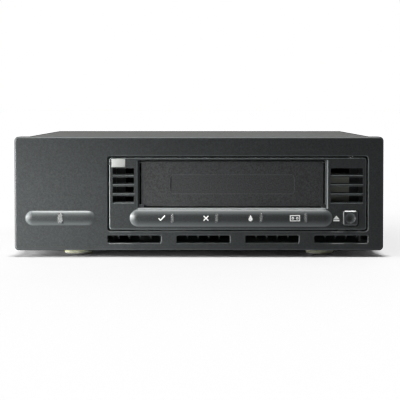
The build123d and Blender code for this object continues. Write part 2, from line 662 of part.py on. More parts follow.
def side_screw_places():
    """The side screws' y places: near the front, and through the rear panel's flange."""
    return (COVER_Y[0] + COVER_SCREW_INSET, REAR_Y - COVER_SCREW_INSET)


def side_screw_holes(radius):
    """Bars through both sides of the enclosure where its side screws go."""
    return [axle(radius, grown(COVER_X, SHEET), y, SIDE_SCREW_Z) for y in side_screw_places()]


def base_tray():
    """Folded steel tray: the floor, a flange along each side, and slots for the front's hooks."""
    tray = block(TRAY_X, COVER_Y, TRAY_Z)
    for x in ((TRAY_X[0], TRAY_INNER_X[0]), (TRAY_INNER_X[1], TRAY_X[1])):
        tray += block(x, COVER_Y, (TRAY_Z[0], TRAY_Z[0] + TRAY_FLANGE))
    for hole in side_screw_holes(SCREW_HOLE):
        tray -= hole
    tail_y = FACE_Y + BEZEL_DEPTH + LATCH_REACH
    slot_y = (tail_y - LATCH_BARB - SEAT_GAP, tail_y + SEAT_GAP)
    for x in LATCH_X:
        tray -= block(about(x, LATCH_WIDTH + 2 * SEAT_GAP), slot_y, grown(TRAY_Z, SHEET))
    return tray


def top_cover():
    """Folded steel cover: the top and both sides, open below, with bent upper corners."""
    size = (COVER_X[1] - COVER_X[0], COVER_Z[1] - COVER_Z[0] + 2 * COVER_BEND)
    mid_z = COVER_Z[1] - size[1] / 2
    outer = across(RectangleRounded(*size, COVER_BEND), middle(COVER_X), mid_z, COVER_Y)
    hollow = RectangleRounded(*roomy(size, -COVER_SHEET), COVER_BEND - COVER_SHEET)
    cover = outer - across(hollow, middle(COVER_X), mid_z, COVER_Y)
    cover -= block(grown(COVER_X, SHEET), grown(COVER_Y, SHEET), (COVER_Z[0] - 2 * size[1], COVER_Z[0]))
    for hole in side_screw_holes(SCREW_HOLE + SLIDE_FIT / 2):
        cover -= hole
    return cover


def cover_screws():
    """Four side screws that hold the cover to the tray, the rear pair through the rear panel too."""
    return [
        Pos(x, y, SIDE_SCREW_Z) * Rot(0, turn, 0) * screw(COVER_SCREW_LENGTH)
        for x, turn in zip(COVER_X, (-90, 90))
        for y in side_screw_places()
    ]


def louvre_spans():
    """The x spans of the louvres left and right of the cartridge tunnel."""
    left = (DRIVE_X[0] + LOUVRE_EDGE, SLOT_X[0] - TUNNEL_WALL)
    right = (SLOT_X[1] + TUNNEL_WALL, DRIVE_X[1] - LOUVRE_EDGE)
    return (left, right)


def louvre(x, top):
    """The hole of one louvre: a slit through the wall, and a sill that slopes down to the front."""
    foot, back = top - LOUVRE_HEIGHT, FACE_Y + DRIVE_FRONT_WALL
    sill = make_face(Polyline((FACE_Y, foot), (back, foot), (FACE_Y, foot - LOUVRE_SILL), close=True))
    return block(x, (FACE_Y, back), (foot, top)) + Pos(x[0], 0, 0) * extrude(
        Plane.YZ * sill, amount=x[1] - x[0], dir=(1, 0, 0)
    )


def slot_rim(edge, lean):
    """The sloping rim ahead of the door at one side of the slot, leaning in by a signed width."""
    throat = FACE_Y + SLOT_RIM[1]
    rim = make_face(Polyline((edge, FACE_Y), (edge, throat), (edge + lean, throat), close=True))
    return extrude(Pos(0, 0, SLOT_Z[0]) * rim, amount=SLOT_Z[1] - SLOT_Z[0], dir=(0, 0, 1))


def drive_bezel():
    """Drive front: the cartridge tunnel, louvres either side of it, and the status bar along its foot."""
    bezel = hollow_front(DRIVE_X, DRIVE_Z, DRIVE_CORNER, DRIVE_EDGE, DRIVE_FRONT_DEPTH, DRIVE_FRONT_WALL,
                         DRIVE_SKIRT)
    rear = FACE_Y + DRIVE_FRONT_DEPTH
    tunnel_z = (SLOT_Z[0] - TUNNEL_WALL, DRIVE_Z[1] - DRIVE_SKIRT)
    bezel += block(grown(SLOT_X, TUNNEL_WALL), (FACE_Y + DRIVE_FRONT_WALL, rear), tunnel_z)
    bezel -= block(SLOT_X, (FACE_Y - DRIVE_EDGE, rear), SLOT_Z)
    through = (FACE_Y - BAR_RISE, FACE_Y + DRIVE_FRONT_WALL)
    for x in louvre_spans():
        for i in range(LOUVRE_COUNT):
            bezel -= louvre(x, DRIVE_Z[1] - LOUVRE_DROP - LOUVRE_PITCH * i)
    bezel += raised_bar(middle(STATUS_BAR_X), STATUS_BAR_LENGTH, STATUS_BAR_HEIGHT)
    for x in STATUS_LENS_X:
        bezel -= lens_hole(STATUS_LENS, x, DRIVE_FRONT_WALL)
    hole = BUTTON_SIZE + 2 * BUTTON_GAP
    bezel -= across(RectangleRounded(hole, hole, BUTTON_CORNER + BUTTON_GAP), BUTTON_X, BAR_Z, through)
    bezel -= axle(DOOR_PIN_RADIUS + RUNNING_FIT, grown(SLOT_X, TUNNEL_WALL), DOOR_AXIS_Y, DOOR_AXIS_Z)
    stop_back = FACE_Y + DOOR_SET - RUNNING_FIT
    reach = DOOR_SIDE_GAP + DOOR_STOP[0]
    for x in ((SLOT_X[0], SLOT_X[0] + reach), (SLOT_X[1] - reach, SLOT_X[1])):
        bezel += block(x, (stop_back - DOOR_STOP[1], stop_back), (SLOT_Z[0], SLOT_Z[0] + DOOR_STOP[2]))
    bezel += slot_rim(SLOT_X[0], SLOT_RIM[0]) + slot_rim(SLOT_X[1], -SLOT_RIM[0])
    for x in grown((STATUS_LENS_X[0], STATUS_LENS_X[-1]), STATUS_POST_OFFSET):
        bezel += round_bar(SCREW_RADIUS, x, BAR_Z, (FACE_Y + DRIVE_FRONT_WALL, FACE_Y + STATUS_BOARD_SET))
    return bezel


def cartridge_door():
    """Door flap with a round top edge, moulded hinge pins and a shallow panel in its face."""
    x = grown(SLOT_X, -DOOR_SIDE_GAP)
    y = (FACE_Y + DOOR_SET, FACE_Y + DOOR_SET + DOOR_THICKNESS)
    foot = SLOT_Z[0] + DOOR_SILL_GAP
    door = block(x, y, (foot, DOOR_AXIS_Z)) + axle(DOOR_THICKNESS / 2, x, DOOR_AXIS_Y, DOOR_AXIS_Z)
    panel = RectangleRounded(*DOOR_PANEL, DOOR_PANEL_CORNER)
    door -= across(panel, SLOT_CENTRE, foot + DOOR_PANEL_LIFT, (y[0], y[0] + DOOR_PANEL_DEPTH))
    pins = grown(SLOT_X, TUNNEL_WALL - SEAT_GAP)
    return door + axle(DOOR_PIN_RADIUS, pins, DOOR_AXIS_Y, DOOR_AXIS_Z)


def button_lug_y():
    """The eject button's lugs from front to back, just behind the front wall."""
    front = FACE_Y + DRIVE_FRONT_WALL + RUNNING_FIT
    return (front, front + BUTTON_LUG_DEPTH)


def eject_button():
    """Square eject key with bevelled edges, a finger dish, and a lug each side behind the wall."""
    front = FACE_Y - BUTTON_PROUD
    lug_y = button_lug_y()
    outline = RectangleRounded(BUTTON_SIZE, BUTTON_SIZE, BUTTON_CORNER)
    key = across(outline, BUTTON_X, BAR_Z, (front, lug_y[1]))
    key = chamfer(key.faces().sort_by(Axis.Y)[0].edges(), BUTTON_BEVEL)
    ball = (BUTTON_DISH_RADIUS**2 + BUTTON_DISH_DEPTH**2) / (2 * BUTTON_DISH_DEPTH)
    key -= Pos(BUTTON_X, front + BUTTON_DISH_DEPTH - ball, BAR_Z) * Rot(90, 0, 0) * Sphere(ball)
    lugs = about(BUTTON_X, BUTTON_SIZE + 2 * (BUTTON_GAP + BUTTON_LUG))
    return key + block(lugs, lug_y, about(BAR_Z, BUTTON_LUG_HEIGHT))


def status_light_pipes():
    """One clear moulding: four lenses through the status bar, joined by a runner behind the front wall."""
    depth = LAMP_SET - SEAT_GAP
    span = grown((STATUS_LENS_X[0], STATUS_LENS_X[-1]), STATUS_LENS[0])
    runner_y = (FACE_Y + DRIVE_FRONT_WALL + SEAT_GAP, FACE_Y + depth)
    pipes = block(span, runner_y, about(BAR_Z, STATUS_LENS[1] / 2))
    for x in STATUS_LENS_X:
        pipes += light_pipe(STATUS_LENS, x, depth)
    return pipes


def status_board():
    """Board across the drive's front with four lamps and the eject switch."""
    board_y = (FACE_Y + STATUS_BOARD_SET, FACE_Y + STATUS_BOARD_SET + BOARD)
    board_x = (STATUS_LENS_X[0] - STATUS_BOARD_OVERHANG, DRIVE_X[1] - DRIVE_SKIRT - SEAT_GAP)
    low = DRIVE_Z[0] + DRIVE_SKIRT + SEAT_GAP
    board = block(board_x, board_y, (low, low + STATUS_BOARD_HEIGHT))
    for x in STATUS_LENS_X:
        board += lamp(x, (FACE_Y + LAMP_SET, board_y[0]))
    switch_y = (button_lug_y()[1] + BUTTON_TRAVEL + SEAT_GAP, board_y[0])
    return board + block(about(BUTTON_X, EJECT_SWITCH), switch_y, about(BAR_Z, EJECT_SWITCH))


def rail_screw_places():
    """The y places of the screws along each side of the drive."""
    return (CAST_Y[0] + RAIL_SCREW_INSET, CAST_Y[0] + RAIL_SCREW_INSET + RAIL_SCREW_SPACING)


def lid_screw_places():
    """The four lid screws, over the bosses in the drive body's corners."""
    xs = grown(CAST_INNER_X, -LID_BOSS)
    ys = grown(CAST_Y, -CAST_WALL - LID_BOSS)
    return [(x, y) for x in xs for y in ys]


def drive_chassis():
    """Cast drive body: sides, rear wall and a raised floor, with bosses and holes for what it carries."""
    chassis = block(CAST_X, CAST_Y, CAST_Z)
    inside_y = (CAST_Y[0], CAST_Y[1] - CAST_WALL)
    chassis -= block(CAST_INNER_X, inside_y, (CAST_FLOOR_Z[1], CAST_Z[1]))
    chassis -= block(CAST_INNER_X, CAST_Y, (CAST_Z[0], CAST_FLOOR_Z[0]))
    chassis -= pillar(HUB_BOSS_RADIUS + MOTOR_GAP, HUB_XY, CAST_FLOOR_Z)
    hole_z = (CAST_Z[1] - LID_SCREW_LENGTH - SEAT_GAP, CAST_Z[1])
    for x, y in lid_screw_places():
        boss = block(about(x, 2 * LID_BOSS), about(y, 2 * LID_BOSS), (CAST_FLOOR_Z[1], CAST_Z[1]))
        chassis += boss - pillar(SCREW_HOLE, (x, y), hole_z)
    for x in grown(RECEIVER_X, -RECEIVER_SEAT_INSET):
        for y in grown(RECEIVER_Y, -RECEIVER_SEAT_INSET):
            chassis += pillar(RECEIVER_SEAT, (x, y), (CAST_FLOOR_Z[1], RECEIVER_FLOOR_Z[0]))
    for x in grown(CAST_INNER_X, -BOARD_BOSS_INSET):
        for y in grown(CAST_Y, -BOARD_BOSS_INSET):
            chassis += pillar(BOARD_BOSS, (x, y), (BOARD_Z[1], CAST_FLOOR_Z[0]))
    for y in rail_screw_places():
        chassis -= axle(SCREW_HOLE, CAST_X, y, RAIL_SCREW_Z)
    return chassis


def drive_lid():
    """Flat sheet-metal lid over the drive body."""
    lid = block(CAST_X, CAST_Y, LID_Z)
    for place in lid_screw_places():
        lid -= pillar(SCREW_HOLE + SLIDE_FIT / 2, place, LID_Z)
    return lid


def lid_screws():
    """Four screws that hold the lid down."""
    return [Pos(x, y, LID_Z[1]) * screw(LID_SCREW_LENGTH) for x, y in lid_screw_places()]


def drive_rail(wall, foot_x):
    """Folded mounting rail: an upright leg on the drive's side, and a foot turned out along the tray."""
    first, last = rail_screw_places()
    y = grown((first, last), RAIL_OVERRUN)
    rail = block(wall, y, (TRAY_Z[1], RAIL_SCREW_Z + RAIL_RISE))
    rail += block(foot_x, y, (TRAY_Z[1], TRAY_Z[1] + SHEET))
    for row in (first, last):
        rail -= axle(SCREW_HOLE + SLIDE_FIT / 2, wall, row, RAIL_SCREW_Z)
    return rail


def drive_rail_left():
    """The rail on the drive's left side."""
    wall = (CAST_X[0] - SHEET, CAST_X[0])
    return drive_rail(wall, (wall[0] - RAIL_FOOT, wall[1]))


def drive_rail_right():
    """The rail on the drive's right side."""
    wall = (CAST_X[1], CAST_X[1] + SHEET)
    return drive_rail(wall, (wall[0], wall[1] + RAIL_FOOT))


def rail_screws():
    """Two screws through each rail into the drive's sides."""
    return [
        Pos(x, y, RAIL_SCREW_Z) * Rot(0, turn, 0) * screw(RAIL_SCREW_LENGTH)
        for x, turn in zip(grown(CAST_X, SHEET), (-90, 90))
        for y in rail_screw_places()
    ]


def cartridge_receiver():
    """Sheet-metal guide for the cartridge: floor, sides and two end stops, with the hub's hole."""
    receiver = block(RECEIVER_X, RECEIVER_Y, RECEIVER_FLOOR_Z)
    inner = grown(RECEIVER_X, -RECEIVER_SHEET)
    for x in ((RECEIVER_X[0], inner[0]), (inner[1], RECEIVER_X[1])):
        receiver += block(x, RECEIVER_Y, (RECEIVER_FLOOR_Z[0], RECEIVER_TOP + RECEIVER_SIDE_HEIGHT))
    stop_y = (RECEIVER_Y[1] - RECEIVER_SHEET, RECEIVER_Y[1])
    for x in ((inner[0], inner[0] + RECEIVER_STOP[0]), (inner[1] - RECEIVER_STOP[0], inner[1])):
        receiver += block(x, stop_y, (RECEIVER_FLOOR_Z[0], RECEIVER_TOP + RECEIVER_STOP[1]))
    return receiver - pillar(HUB_RADIUS + HUB_HOLE_ROOM, HUB_XY, RECEIVER_FLOOR_Z)


def reel_motor():
    """Flat motor hung under the drive's floor, its bearing boss standing up through the floor."""
    low = BOARD_Z[1] + SEAT_GAP
    motor = pillar(MOTOR_RADIUS, HUB_XY, (low, CAST_FLOOR_Z[0]))
    motor += pillar(HUB_BOSS_RADIUS, HUB_XY, (low, HUB_Z[0] - MOTOR_GAP))
    return motor - pillar(SPINDLE_RADIUS + RUNNING_FIT, HUB_XY, (low + SHEET, HUB_Z[0]))


def drive_hub():
    """Hub that turns the cartridge's reel: a disc with a ring of radial teeth, on a spindle."""
    hub = pillar(HUB_RADIUS, HUB_XY, HUB_Z)
    hub += pillar(SPINDLE_RADIUS, HUB_XY, (BOARD_Z[1] + SHEET + 2 * SEAT_GAP, HUB_Z[0]))
    ring_x = (HUB_RADIUS - HUB_TOOTH[0], HUB_RADIUS - SEAT_GAP)
    tooth = block(ring_x, about(0, HUB_TOOTH[1]), (HUB_Z[1] - SEAT_GAP, HUB_Z[1] + HUB_TOOTH[2]))
    return hub + [Pos(*HUB_XY, 0) * Rot(0, 0, 360 * i / HUB_TEETH) * tooth for i in range(HUB_TEETH)]


def takeup_motor():
    """Flat motor on the drive's floor under the take-up reel."""
    low, high = CAST_FLOOR_Z[1], CAST_FLOOR_Z[1] + TAKEUP_MOTOR_HEIGHT
    motor = pillar(TAKEUP_MOTOR_RADIUS, REEL_XY, (low, high))
    return motor - pillar(REEL_SHAFT_RADIUS + RUNNING_FIT, REEL_XY, (low + SHEET, high))


def takeup_reel():
    """Take-up reel: two flanges on a hub notched for the tape's leader, the upper one with windows."""
    low, high = REEL_Z
    reel = pillar(REEL_RADIUS, REEL_XY, (low, low + REEL_FLANGE))
    reel += pillar(REEL_RADIUS, REEL_XY, (high - REEL_FLANGE, high))
    reel += pillar(REEL_HUB_RADIUS, REEL_XY, (low, high))
    window_ring = (REEL_RADIUS + REEL_HUB_RADIUS) / 2
    window = Pos(window_ring, 0, high - REEL_FLANGE / 2) * Cylinder(REEL_WINDOW_RADIUS, REEL_FLANGE)
    reel -= [Pos(*REEL_XY, 0) * Rot(0, 0, 360 * i / REEL_WINDOWS) * window for i in range(REEL_WINDOWS)]
    notch_x = (REEL_XY[0] + REEL_HUB_RADIUS - REEL_NOTCH[0], REEL_XY[0] + REEL_HUB_RADIUS)
    reel -= block(notch_x, about(REEL_XY[1], REEL_NOTCH[1]), (low + REEL_FLANGE, high - REEL_FLANGE))
    return reel + pillar(REEL_SHAFT_RADIUS, REEL_XY, (CAST_FLOOR_Z[1] + SHEET + SEAT_GAP, low))


def guide_plate():
    """Steel plate on the drive's floor that carries the four roller posts and the head's frame."""
    xs = [x for x, _ in ROLLER_XY]
    ys = [y for _, y in ROLLER_XY]
    plate_x = (min(HEAD_ARM_X[0], min(xs) - ROLLER_FLANGE_RADIUS), max(xs) + ROLLER_FLANGE_RADIUS)
    plate = block(plate_x, grown((min(ys), max(ys)), ROLLER_FLANGE_RADIUS), GUIDE_Z)
    for place in ROLLER_XY:
        plate += pillar(POST_RADIUS, place, (GUIDE_Z[1], ROLLER_Z[1] + POST_TIP))
        plate += pillar(POST_RADIUS + POST_COLLAR, place, (GUIDE_Z[1], ROLLER_Z[0] - RUNNING_FIT))
    return plate


def guide_roller(place):
    """Flanged tape guide roller, bored to turn on its post."""
    low, high = ROLLER_Z
    roller = pillar(ROLLER_RADIUS, place, ROLLER_Z)
    roller += pillar(ROLLER_FLANGE_RADIUS, place, (low, low + ROLLER_FLANGE))
    roller += pillar(ROLLER_FLANGE_RADIUS, place, (high - ROLLER_FLANGE, high))
    return roller - pillar(POST_RADIUS + RUNNING_FIT, place, ROLLER_Z)


def head_rod_places():
    """The two guide rods, one each side of the lead screw."""
    return [(SCREW_XY[0], y) for y in about(SCREW_XY[1], 2 * HEAD_ROD_SPREAD)]


def head_carriage():
    """Lifting carriage: the crowned head core on its block, and an arm bored for its rods and screw."""
    carriage = block(HEAD_BLOCK_X, HEAD_BLOCK_Y, ROLLER_Z)
    crown = pillar(HEAD_CORE_RADIUS, (HEAD_FACE_X - HEAD_CORE_RADIUS, SCREW_XY[1]), ROLLER_Z)
    carriage += crown & block((HEAD_BLOCK_X[1], HEAD_FACE_X), about(SCREW_XY[1], HEAD_CORE_WIDTH), ROLLER_Z)
    carriage += block(HEAD_ARM_X, HEAD_BLOCK_Y, HEAD_ARM_Z) + block(ROD_SPAN_X, ROD_SPAN_Y, HEAD_ARM_Z)
    for place in head_rod_places():
        carriage -= pillar(HEAD_ROD_RADIUS + RUNNING_FIT, place, HEAD_ARM_Z)
    return carriage - pillar(LEAD_SCREW_RADIUS + RUNNING_FIT, SCREW_XY, HEAD_ARM_Z)


def head_frame():
    """Two upright guide rods on the guide plate, joined by a bridge that steadies the lead screw."""
    frame = block(ROD_SPAN_X, ROD_SPAN_Y, BRIDGE_Z)
    frame -= pillar(LEAD_SCREW_RADIUS + RUNNING_FIT, SCREW_XY, BRIDGE_Z)
    for place in head_rod_places():
        frame += pillar(HEAD_ROD_RADIUS, place, (GUIDE_Z[1], BRIDGE_Z[1]))
    return frame


def head_stepper():
    """Small stepping motor on the guide plate, under the lead screw."""
    motor = pillar(STEPPER_RADIUS, SCREW_XY, STEPPER_Z)
    return motor - pillar(LEAD_SCREW_RADIUS + RUNNING_FIT, SCREW_XY, (STEPPER_Z[0] + SHEET, STEPPER_Z[1]))


def lead_screw():
    """Lead screw that lifts the head, running from its motor up into the bridge."""
    return pillar(LEAD_SCREW_RADIUS, SCREW_XY, (STEPPER_Z[0] + SHEET + SEAT_GAP, BRIDGE_Z[1]))


def load_motor():
    """Geared motor beside the bay, seen through the right louvres."""
    x = (SLOT_X[1] + TUNNEL_WALL, SLOT_X[1] + TUNNEL_WALL + LOAD_MOTOR[0])
    y = (FACE_Y + LOAD_MOTOR_SET, FACE_Y + LOAD_MOTOR_SET + LOAD_MOTOR[1])
    z = (CAST_FLOOR_Z[1], CAST_FLOOR_Z[1] + LOAD_MOTOR[2])
    nose_radius, nose_length = LOAD_MOTOR_NOSE
    return block(x, y, z) + round_bar(nose_radius, middle(x), middle(z), (y[1], y[1] + nose_length))


def main_board():
    """Drive electronics under the floor, with its larger chips and a tail for the rear plugs."""
    board_y = (CAST_Y[0] + CAST_WALL, CAST_Y[1] + BOARD_TAIL)
    board = block(grown(CAST_INNER_X, -SEAT_GAP), board_y, BOARD_Z)
    for (dx, dy), size in CHIPS:
        x, y = SLOT_CENTRE + dx, CAST_Y[0] + dy
        board += block(about(x, size), about(y, size), (BOARD_Z[1], BOARD_Z[1] + CHIP_HEIGHT))
    return board


def plug_y(plug):
    """A plug's depth on the board's tail, just behind the drive's rear wall."""
    return (CAST_Y[1] + SEAT_GAP, CAST_Y[1] + SEAT_GAP + plug[1])


def power_plug_x():
    """The power plug's place across the board's tail."""
    left = CAST_INNER_X[0] + CAST_WALL
    return (left, left + POWER_PLUG[0])


def drive_plugs():
    """Data and power connectors on the tail of the drive's board."""
    data = block(about(SOCKET_X, DATA_PLUG[0]), plug_y(DATA_PLUG), (BOARD_Z[1], BOARD_Z[1] + DATA_PLUG[2]))
    return [data, block(power_plug_x(), plug_y(POWER_PLUG), (BOARD_Z[1], BOARD_Z[1] + POWER_PLUG[2]))]


def psu_board():
    """Power supply's board, standing on four pillars in the left bay."""
    return block(PSU_X, PSU_Y, PSU_Z)


def psu_standoffs():
    """Four pillars between the tray and the power supply's board."""
    return [
        pillar(STANDOFF_RADIUS, (x, y), (TRAY_Z[1], PSU_Z[0]))
        for x in grown(PSU_X, -2 * STANDOFF_RADIUS)
        for y in grown(PSU_Y, -2 * STANDOFF_RADIUS)
    ]


def psu_heatsink():
    """Extruded heatsink along the power supply's outer edge, with fins turned inwards."""
    x = (PSU_X[0] + PSU_GAP, PSU_X[0] + PSU_GAP + HEATSINK[0])
    sink = block(x, SINK_Y, (PSU_TOP, PSU_TOP + HEATSINK[2]))
    pitch = (HEATSINK[2] - FIN[1]) / (FIN_COUNT - 1)
    for i in range(FIN_COUNT):
        low = PSU_TOP + pitch * i
        sink += block((x[0], x[1] + FIN[0]), SINK_Y, (low, low + FIN[1]))
    return sink


def psu_transformer():
    """Transformer behind the heatsink: an insulated winding through a ferrite core."""
    x = PSU_X[1] - PSU_GAP - TRANSFORMER[0] / 2
    winding_y = about(middle(TRANSFORMER_Y), WINDING_LENGTH)
    winding = block(about(x, TRANSFORMER[0]), winding_y, (PSU_TOP, PSU_TOP + TRANSFORMER[2]))
    core_z = about(PSU_TOP + TRANSFORMER[2] / 2, TRANSFORMER_CORE[1])
    return winding + block(about(x, TRANSFORMER_CORE[0]), TRANSFORMER_Y, core_z)


def psu_capacitor():
    """Tall smoothing capacitor on the power supply's board."""
    place = (PSU_X[1] - CAPACITOR_RADIUS - PSU_GAP, CAPACITOR_Y)
    return pillar(CAPACITOR_RADIUS, place, (PSU_TOP, PSU_TOP + CAPACITOR_HEIGHT))


def rear_panel():
    """Folded rear panel, cut for the inlet, switches, fan and sockets, with a flange each side."""
    panel = block(TRAY_INNER_X, PANEL_Y, PANEL_Z)
    inner = grown(TRAY_INNER_X, -SHEET)
    for x in ((TRAY_INNER_X[0], inner[0]), (inner[1], TRAY_INNER_X[1])):
        panel += block(x, (REAR_Y - REAR_FLANGE, REAR_Y), PANEL_Z)
    for hole in side_screw_holes(SCREW_HOLE):
        panel -= hole
    cuts = [(INLET_BODY, INLET_X, INLET_Z), (SWITCH_BODY, INLET_X, SWITCH_Z), (ID_BODY, ID_X, PANEL_MID)]
    cuts += [(SOCKET_SHELL, SOCKET_X, z) for z in SOCKET_Z.values()]
    for size, x, z in cuts:
        panel -= across(Rectangle(*roomy(size, SLIDE_FIT)), x, z, PANEL_Y)
    panel -= round_bar(FAN_BORE_RADIUS, FAN_X, PANEL_MID, PANEL_Y)
    for x, z in fan_screw_places():
        panel -= round_bar(SCREW_HOLE + SLIDE_FIT / 2, x, z, PANEL_Y)
    for x, z in jack_places():
        panel -= round_bar(JACK_HOLE + SLIDE_FIT, x, z, PANEL_Y)
    return panel


def pin_places():
    """The middles of the inlet's two supply pins and its earth pin."""
    supply_z, earth_z = about(INLET_Z, PIN_EARTH_RISE)
    return [(x, supply_z) for x in about(INLET_X, 2 * PIN_SPREAD)] + [(INLET_X, earth_z)]


def mains_inlet():
    """Three-pin mains inlet: a flanged body with a keyed socket well open to the rear."""
    body_y = (PANEL_Y[1] - INLET_DEPTH, PANEL_Y[1])
    inlet = across(Rectangle(*INLET_BODY), INLET_X, INLET_Z, body_y)
    flange = RectangleRounded(*INLET_FLANGE, INLET_CORNER)
    inlet += across(flange, INLET_X, INLET_Z, (PANEL_Y[1], INLET_MOUTH_Y))
    well = Rectangle(*INLET_CAVITY)
    well = chamfer(well.vertices().sort_by(Axis.Y)[-2:], INLET_KEY)
    inlet -= across(well, INLET_X, INLET_Z, INLET_WELL_Y)
    for x, z in pin_places():
        inlet -= across(Rectangle(*PIN_BLADE), x, z, (body_y[0], INLET_WELL_Y[0]))
    return inlet


def mains_pins():
    """The inlet's three flat pins, from their solder tails to just inside the well's mouth."""
    y = (PANEL_Y[1] - INLET_DEPTH - PIN_TAIL, INLET_WELL_Y[0] + PIN_LENGTH)
    return [across(Rectangle(*PIN_BLADE), x, z, y) for x, z in pin_places()]


def switch_housing():
    """Snap-in housing of the power switch: a rim on the panel and a well for the rocker."""
    housing = across(Rectangle(*SWITCH_BODY), INLET_X, SWITCH_Z, (PANEL_Y[1] - SWITCH_DEPTH, PANEL_Y[1]))
    rim_y = (PANEL_Y[1], PANEL_Y[1] + SWITCH_LIP)
    housing += across(RectangleRounded(*SWITCH_FLANGE, SHEET), INLET_X, SWITCH_Z, rim_y)
    housing -= across(Rectangle(*SWITCH_CAVITY), INLET_X, SWITCH_Z, (ROCKER_AXIS_Y - ROCKER_WELL, rim_y[1]))
    pin_x = about(INLET_X, SWITCH_CAVITY[0] + 2 * ROCKER_PIN_SEAT)
    return housing - axle(ROCKER_PIN_RADIUS + RUNNING_FIT, pin_x, ROCKER_AXIS_Y, SWITCH_Z)


def power_rocker():
    """Rocker of the power switch, dished along its length and set tilted to its off side."""
    half = SWITCH_CAVITY[1] / 2 - 2 * SEAT_GAP
    width = SWITCH_CAVITY[0] - 2 * SEAT_GAP
    outline = make_face([
        ThreePointArc((ROCKER_CREST, half), (ROCKER_CREST - ROCKER_DISH, 0), (ROCKER_CREST, -half)),
        Polyline((ROCKER_CREST, -half), (0, -half), (-ROCKER_ROOT, 0), (0, half), (ROCKER_CREST, half)),
    ])
    rocker = Pos(-width / 2, 0, 0) * extrude(Plane.YZ * outline, amount=width)
    rocker += axle(ROCKER_PIN_RADIUS, about(0, width + 2 * ROCKER_PIN_SEAT), 0, 0)
    return Pos(INLET_X, ROCKER_AXIS_Y, SWITCH_Z) * Rot(ROCKER_TILT, 0, 0) * rocker


def fan_screw_places():
    """The fan's four corner screws in the rear view."""
    return [(x, z) for x in about(FAN_X, FAN_HOLE_SPACING) for z in about(PANEL_MID, FAN_HOLE_SPACING)]


def fan_frame():
    """Square fan frame: the round duct, and struts to the motor's seat and bearing tube."""
    frame = across(RectangleRounded(FAN_SIZE, FAN_SIZE, FAN_CORNER), FAN_X, PANEL_MID, FAN_Y)
    frame -= round_bar(FAN_BORE_RADIUS, FAN_X, PANEL_MID, FAN_Y)
    for x, z in fan_screw_places():
        frame -= round_bar(SCREW_HOLE, x, z, FAN_Y)
    seat_y = (FAN_Y[0], FAN_Y[0] + FAN_SEAT)
    frame += round_bar(FAN_HUB_RADIUS, FAN_X, PANEL_MID, seat_y)
    strut = block((0, FAN_BORE_RADIUS + SHEET), seat_y, about(0, FAN_SEAT))
    frame += [Pos(FAN_X, 0, PANEL_MID) * Rot(0, 360 * i / FAN_STRUTS, 0) * strut for i in range(FAN_STRUTS)]
    tube_y = (FAN_Y[0], FAN_CUP_Y[1] - SHEET - SEAT_GAP)
    frame += round_bar(FAN_SHAFT_RADIUS + SHEET, FAN_X, PANEL_MID, tube_y)
    bore_y = (FAN_Y[0] + SHEET, tube_y[1])
    return frame - round_bar(FAN_SHAFT_RADIUS + RUNNING_FIT, FAN_X, PANEL_MID, bore_y)


def fan_blade():
    """One blade along +X: steep at the hub, flatter at the tip."""
    root = Plane(origin=(FAN_HUB_RADIUS - SHEET, 0, 0), x_dir=(0, 1, 0), z_dir=(1, 0, 0))
    tip = Plane(origin=(FAN_BORE_RADIUS - FAN_TIP_GAP, 0, 0), x_dir=(0, 1, 0), z_dir=(1, 0, 0))
    return loft([
        root * Rot(0, 0, BLADE_ROOT_ANGLE) * Rectangle(BLADE_CHORD[0], BLADE_THICKNESS),
        tip * Rot(0, 0, BLADE_TIP_ANGLE) * Rectangle(BLADE_CHORD[1], BLADE_THICKNESS),
    ])


def fan_rotor():
    """Fan rotor: a cup over the motor with a ring of twisted blades, turning on its own shaft."""
    rotor = round_bar(FAN_HUB_RADIUS, FAN_X, PANEL_MID, FAN_CUP_Y)
    hollow_y = (FAN_CUP_Y[0], FAN_CUP_Y[1] - SHEET)
    rotor -= round_bar(FAN_HUB_RADIUS - FAN_CUP_WALL, FAN_X, PANEL_MID, hollow_y)
    rotor += round_bar(FAN_SHAFT_RADIUS, FAN_X, PANEL_MID, (FAN_Y[0] + SHEET + SEAT_GAP, FAN_CUP_Y[1]))
    centre = Pos(FAN_X, middle(FAN_CUP_Y), PANEL_MID)
    return rotor + [centre * Rot(0, 360 * i / FAN_BLADES, 0) * fan_blade() for i in range(FAN_BLADES)]


def fan_guard():
    """Pressed finger guard over the fan's opening, pierced with a honeycomb of hexagons."""
    guard_y = (PANEL_Y[1], PANEL_Y[1] + GUARD_SHEET)
    guard = across(RectangleRounded(FAN_SIZE, FAN_SIZE, FAN_CORNER), FAN_X, PANEL_MID, guard_y)
    for x, z in fan_screw_places():
        guard -= round_bar(SCREW_HOLE + SLIDE_FIT / 2, x, z, guard_y)
    pitch = math.sqrt(3) * GUARD_HEX + GUARD_BAR
    row_step = pitch * math.sqrt(3) / 2
    count = int(FAN_BORE_RADIUS / row_step) + 1
    hexagon = RegularPolygon(GUARD_HEX, 6, rotation=30)
    cells = []
    for row in range(-count, count + 1):
        for column in range(-count, count + 1):
            x, z = pitch * (column + row % 2 / 2), row_step * row
            if math.hypot(x, z) < FAN_BORE_RADIUS - GUARD_HEX:
                cells.append(Pos(x, z) * hexagon)
    return guard - across(Sketch() + cells, FAN_X, PANEL_MID, guard_y)


def fan_screws():
    """Four screws through the guard and panel into the fan's corners."""
    back = PANEL_Y[1] + GUARD_SHEET
    return [Pos(x, back, z) * Rot(-90, 0, 0) * screw(FAN_SCREW_LENGTH) for x, z in fan_screw_places()]


def jack_places():
    """The four jack posts, one at each end of both data sockets."""
    return [(x, z) for z in SOCKET_Z.values() for x in about(SOCKET_X, JACK_PITCH)]


